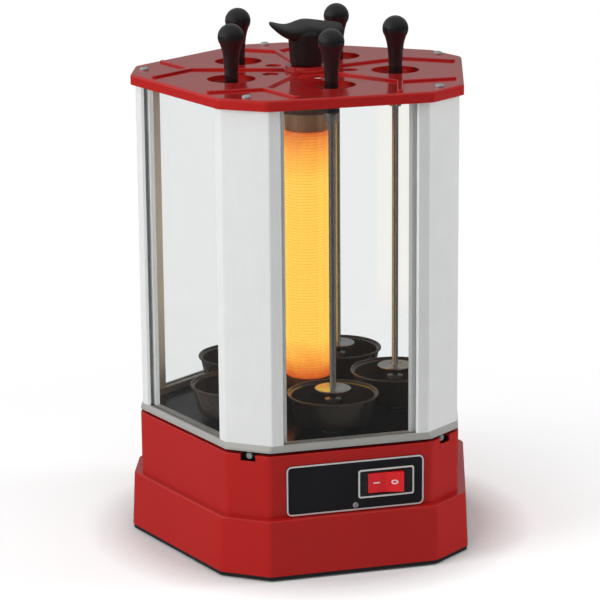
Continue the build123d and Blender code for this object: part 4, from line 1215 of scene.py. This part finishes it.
@dataclass
class Skewers:
    """Five skewers with turned grips."""

    base_z: float = 346.0 * MM
    top_z: float = 409.0 * MM
    ball: float = 10.0 * MM
    neck_z: float = 392.4 * MM

    def grip_profile(self) -> list[Point2]:
        """Half section of the grip, from its bore to the top of the ball.

        Returns:
            Radius and height of each point.
        """
        waist = [(6.05, 346.9), (5.55, 351.0), (5.25, 357.0), (5.25, 366.0)]
        waist += [(5.45, 375.0), (6.0, 383.0), (6.9, 388.6), (8.0, 392.4)]
        line = section([(2.5, 0.0), (5.6, 0.0), (5.95, 0.35)], self.base_z)
        line += section(flowing(waist, 5))
        centre = self.top_z - self.ball
        start = math.asin((self.neck_z - centre) / self.ball)
        steps = 22
        for step in range(1, steps + 1):
            angle = start + (math.pi / 2 - start) * step / steps
            reach = self.ball * math.cos(angle) if step < steps else 0.0
            line.append((reach, centre + self.ball * math.sin(angle)))
        return line

    def rod_profile(self) -> list[Point2]:
        """Half section of the rod with its stop disc and ferrule.

        Returns:
            Radius and height of each point.
        """
        tip = [(0.0, 117.3), (1.6, 117.3), (2.45, 118.6), (2.5, 119.4), (2.5, 129.6)]
        disc = [(13.2, 129.95), (13.9, 130.15), (14.0, 130.6), (13.9, 131.2), (13.4, 131.6)]
        disc += [(4.2, 131.75), (2.9, 132.2), (2.5, 133.2)]
        ferrule = [(2.5, 338.6), (4.4, 339.0), (4.7, 339.4), (5.45, 345.6), (5.3, 346.0)]
        end = [(2.5, 346.0), (2.5, 385.6), (2.1, 386.0), (0.0, 386.0)]
        return section([*tip, *disc, *ferrule, *end])

    def build(self) -> None:
        """Makes all five."""
        for number, angle in enumerate(FACE_ANGLES, start=1):
            place, body = around(angle, SPINDLE_CIRCLE), f"skewer_{number}"
            grip = Shape(f"grip_{number}")
            grip.turn(self.grip_profile(), 64, Matrix.Translation(place))
            grip.piece(BLACK_GRIP, body, "black_plastic", [f"skewer_handle_{number}"], 50, origin=place)
            rod = Shape(f"rod_{number}")
            rod.turn(self.rod_profile(), 48, Matrix.Translation(place))
            rod.piece(DRAWN_STEEL, body, "skewer_steel", [f"skewer_{number}"], origin=place)
            LOG.info("skewer %d", number)


class DripCups:
    """Five spun cups that turn on the spindles."""

    def profile(self) -> list[Point2]:
        """Half section of a cup: outside up, over the rolled rim, and down to the hub.

        Returns:
            Radius and height of each point.
        """
        outside = [(24.0, 104.4), (26.5, 104.7), (28.6, 105.8), (30.0, 108.0), (30.9, 111.5)]
        outside += [(32.2, 118.0), (33.3, 123.4), (33.75, 125.8)]
        inside = [(31.9, 125.6), (31.3, 121.0), (30.2, 114.6), (29.2, 110.2)]
        inside += [(28.0, 107.9), (26.0, 106.8), (23.0, 106.3)]
        bead = []
        for step in range(11):
            angle = math.pi * (1.24 * step / 10 - 0.12)
            bead.append((34.55 + 0.95 * math.cos(angle), 126.95 + 1.05 * math.sin(angle)))
        hub = [(7.9, 106.25), (7.35, 106.8), (7.1, 108.0), (6.9, 121.8), (6.3, 122.8), (5.6, 123.0)]
        socket = [(2.6, 123.0), (2.58, 117.05), (4.2, 117.0), (4.2, 115.3), (4.2, 104.4)]
        return section([*flowing(outside, 4), *bead, *flowing(inside, 4), *hub, *socket, outside[0]])

    def build(self) -> None:
        """Makes all five."""
        for number, angle in enumerate(FACE_ANGLES, start=1):
            place = around(angle, SPINDLE_CIRCLE)
            cup = Shape(f"cup_{number}")
            cup.turn(self.profile(), 96, Matrix.Translation(place))
            cup.weld()
            cup.piece(CUP_COATING, f"cup_{number}", "nonstick", [f"drip_cup_{number}"], 40, origin=place)
            LOG.info("cup %d", number)


@dataclass
class Heater:
    """The glowing winding on its clay core, inside a quartz sleeve."""

    low: float = 125.0 * MM
    high: float = 320.0 * MM
    radius: float = 18.4 * MM
    wire: float = 0.85 * MM
    pitch: float = 2.35 * MM
    per_turn: int = 40
    band: Point2 = (17.02 * MM, 17.25 * MM)

    def build(self) -> None:
        """Dresses the nodes and winds the wire."""
        dress(["heater_base", "heater_cap"], CLAY_FOOT)
        dress(["heater_glass"], SLEEVE_GLASS)
        dress(["centre_stud"], ZINC_STEEL)
        dress(["heater_core"], FIRED_CLAY)
        self.winding()
        self.painted_glow_band()

    def winding(self) -> None:
        """The fine winding that stands for the heater coil."""
        turns = (self.high - self.low) / self.pitch
        across = [2 * math.pi * side / 6 for side in range(6)]
        offsets = [(self.wire * math.cos(angle), self.wire * math.sin(angle)) for angle in across]
        rings = []
        for step in range(int(turns * self.per_turn) + 1):
            turn = step / self.per_turn
            angle = 2 * math.pi * turn
            centre = around(angle, self.radius, self.low + self.pitch * turn)
            out = around(angle, 1.0)
            rings.append([centre + out * reach + Vector((0, 0, rise)) for reach, rise in offsets])
        shape = Shape("heater_winding")
        shape.loft(rings)
        shape.piece(HOT_WIRE, "base", "heating_wire", ["heater_coil"], 80)
        LOG.info("heater winding of %.0f turns", turns)

    def painted_glow_band(self) -> None:
        """The clay between the turns, with a painted glow along the winding that stands for the winding's
        light on it as well as its heat.
        """
        shape = Shape("heater_painted_glow_band")
        inner, outer = self.band
        bottom, tall = self.low - 1.0 * MM, self.high - self.low + 2.0 * MM
        profile = [(inner, bottom), (outer, bottom)]
        profile += [(outer, bottom + tall * step / 40) for step in range(1, 41)]
        profile += [(inner, bottom + tall), (inner, bottom)]
        shape.turn(profile)
        shape.weld()
        shape.piece(PAINTED_GLOW_CORE, "base", "ceramic")
        LOG.info("painted glow band")


@dataclass
class Studio:
    """Camera, lamps, background and floor."""

    target: Point3 = (0.0, 0.0, 0.200)
    elevation: float = math.radians(14.337)
    swing: float = math.radians(15.617)
    distance: float = 2.0699
    pitch: float = math.radians(14.769)
    yaw: float = math.radians(-0.185)
    roll: float = math.radians(-0.464)
    lens: float = 158.112
    floor_radius: float = 9.0
    white_from: float = 0.20
    white_over: float = 0.32
    # Painted shade on the floor: within this radius its glow to the camera is held back, and it comes back
    # over the fade.
    painted_shade_radius: float = 0.135
    painted_shade_fade: float = 0.045

    def build(self) -> None:
        """Makes the whole studio."""
        self.camera()
        self.lamps()
        self.background()
        self.floor()

    def camera(self) -> None:
        """A long lens from the front left, a little above the grill."""
        place = Vector(self.target) + self.backwards(self.swing, self.elevation) * self.distance
        aim = self.swing + self.yaw
        back = self.backwards(aim, self.pitch)
        right = Vector((math.cos(aim), -math.sin(aim), 0.0))
        up = right.cross(-back)
        right_rolled = math.cos(self.roll) * right + math.sin(self.roll) * up
        up_rolled = -math.sin(self.roll) * right + math.cos(self.roll) * up
        data = bpy.data.cameras.new("studio camera")
        data.sensor_width = 36.0
        data.lens = self.lens
        data.clip_start, data.clip_end = 0.05, 60.0
        turn = Matrix((right_rolled, up_rolled, back)).transposed()
        made = linked("studio camera", data)
        made.matrix_world = Matrix.Translation(place) @ turn.to_4x4()
        bpy.context.scene.camera = made

    @staticmethod
    def backwards(swing: float, rise: float) -> Vector:
        """The unit direction from the grill towards a camera swung left of the front and raised."""
        level = math.cos(rise)
        return Vector((-math.sin(swing) * level, -math.cos(swing) * level, math.sin(rise)))

    def lamp(self, title: str, place: Point3, size: Point2, power: float) -> None:
        """One softbox that points at the target and that shiny pieces don't mirror.

        Args:
            title: Its name.
            place: Where it stands.
            size: Its width and height.
            power: In watts.
        """
        data = bpy.data.lights.new(title, "AREA")
        data.shape = "RECTANGLE"
        data.size, data.size_y = size
        data.energy = power
        made = linked(title, data)
        made.visible_glossy = False
        made.location = place
        made.rotation_mode = "QUATERNION"
        made.rotation_quaternion = (Vector(self.target) - Vector(place)).to_track_quat("-Z", "Y")

    def lamps(self) -> None:
        """Softboxes to the left, above, and to the right."""
        self.lamp("left softbox", (-1.8, -0.5, 0.75), (0.9, 1.2), 22.0)
        self.lamp("top softbox", (-0.2, -0.3, 1.9), (1.1, 1.1), 9.0)
        self.lamp("right softbox", (1.8, -0.35, 0.6), (0.6, 1.1), 17.0)

    def background(self) -> None:
        """White to the eye and through glass, and a dimmer room in mirrors and as a light."""
        world = bpy.data.worlds.new("studio")
        bpy.context.scene.world = world
        graph = Graph(world)
        seen, mirrored = graph.rays("Camera", "Transmission"), graph.rays("Glossy")
        across, deep, rise = graph.parts(graph.node("ShaderNodeTexCoord").outputs["Generated"])
        left = (across * -1.0).clamped() ** 3.0
        room = deep.clamped() * 0.17 + left * 0.5 + rise.clamped() * 0.32 + 0.05
        strength = seen + (1.0 - seen) * (mirrored * room + (1.0 - mirrored) * 0.25)
        light = graph.node("ShaderNodeBackground", {}, {"Color": WHITE, "Strength": strength})
        graph.output(light.outputs[0], "ShaderNodeOutputWorld")
        bpy.context.scene.view_settings.view_transform = "Standard"

    def floor(self) -> None:
        """A pale disc whose glow is held back near the grill as painted shade round the real shadow, and
        that fades to white further out.
        """
        shape = bmesh.new()
        bmesh.ops.create_circle(shape, cap_ends=True, segments=96, radius=self.floor_radius)
        data = bpy.data.meshes.new("studio floor")
        shape.to_mesh(data)
        shape.free()
        paper = bpy.data.materials.new("pale paper")
        graph = Graph(paper)
        seen, mirrored = graph.rays("Camera", "Transmission"), graph.rays("Glossy")
        across, deep, _ = graph.parts(graph.place())
        reach = (across * across + deep * deep).math("SQRT")
        far = ((reach - self.white_from) / self.white_over).clamped()
        # Painted shade: near the grill the floor's glow to the camera is held back, so the floor there is
        # darker than the real shadow alone makes it.
        away = ((reach - self.painted_shade_radius) / self.painted_shade_fade).clamped()
        pale = graph.ramp(graph.noise(0.004, 3.0), [(0.3, (0.80, 0.80, 0.80)), (0.7, (0.84, 0.84, 0.84))])
        cloth = graph.node("ShaderNodeBsdfDiffuse", {}, {"Color": pale}).outputs[0]
        lift = graph.glow(seen * (away * 0.36 + 0.04))
        lit = graph.node("ShaderNodeAddShader", {}, {0: cloth, 1: lift}).outputs[0]
        blend = graph.blend(far * seen, lit, graph.glow(1.0))
        graph.output(graph.blend(mirrored * 0.85, blend, graph.glow(0.05)))
        data.materials.append(paper)
        linked("studio_floor", data)


def main() -> None:
    """Builds the grill and its studio."""
    logging.basicConfig(level=logging.INFO, format="%(name)s: %(message)s")
    assemblies = (Studio(), Base(), ControlPlate(), Hood(), WingKnob(), Skewers(), DripCups(), Heater())
    for assembly in assemblies:
        LOG.info("building %s", type(assembly).__name__)
        assembly.build()


if __name__ == "__main__":
    main()
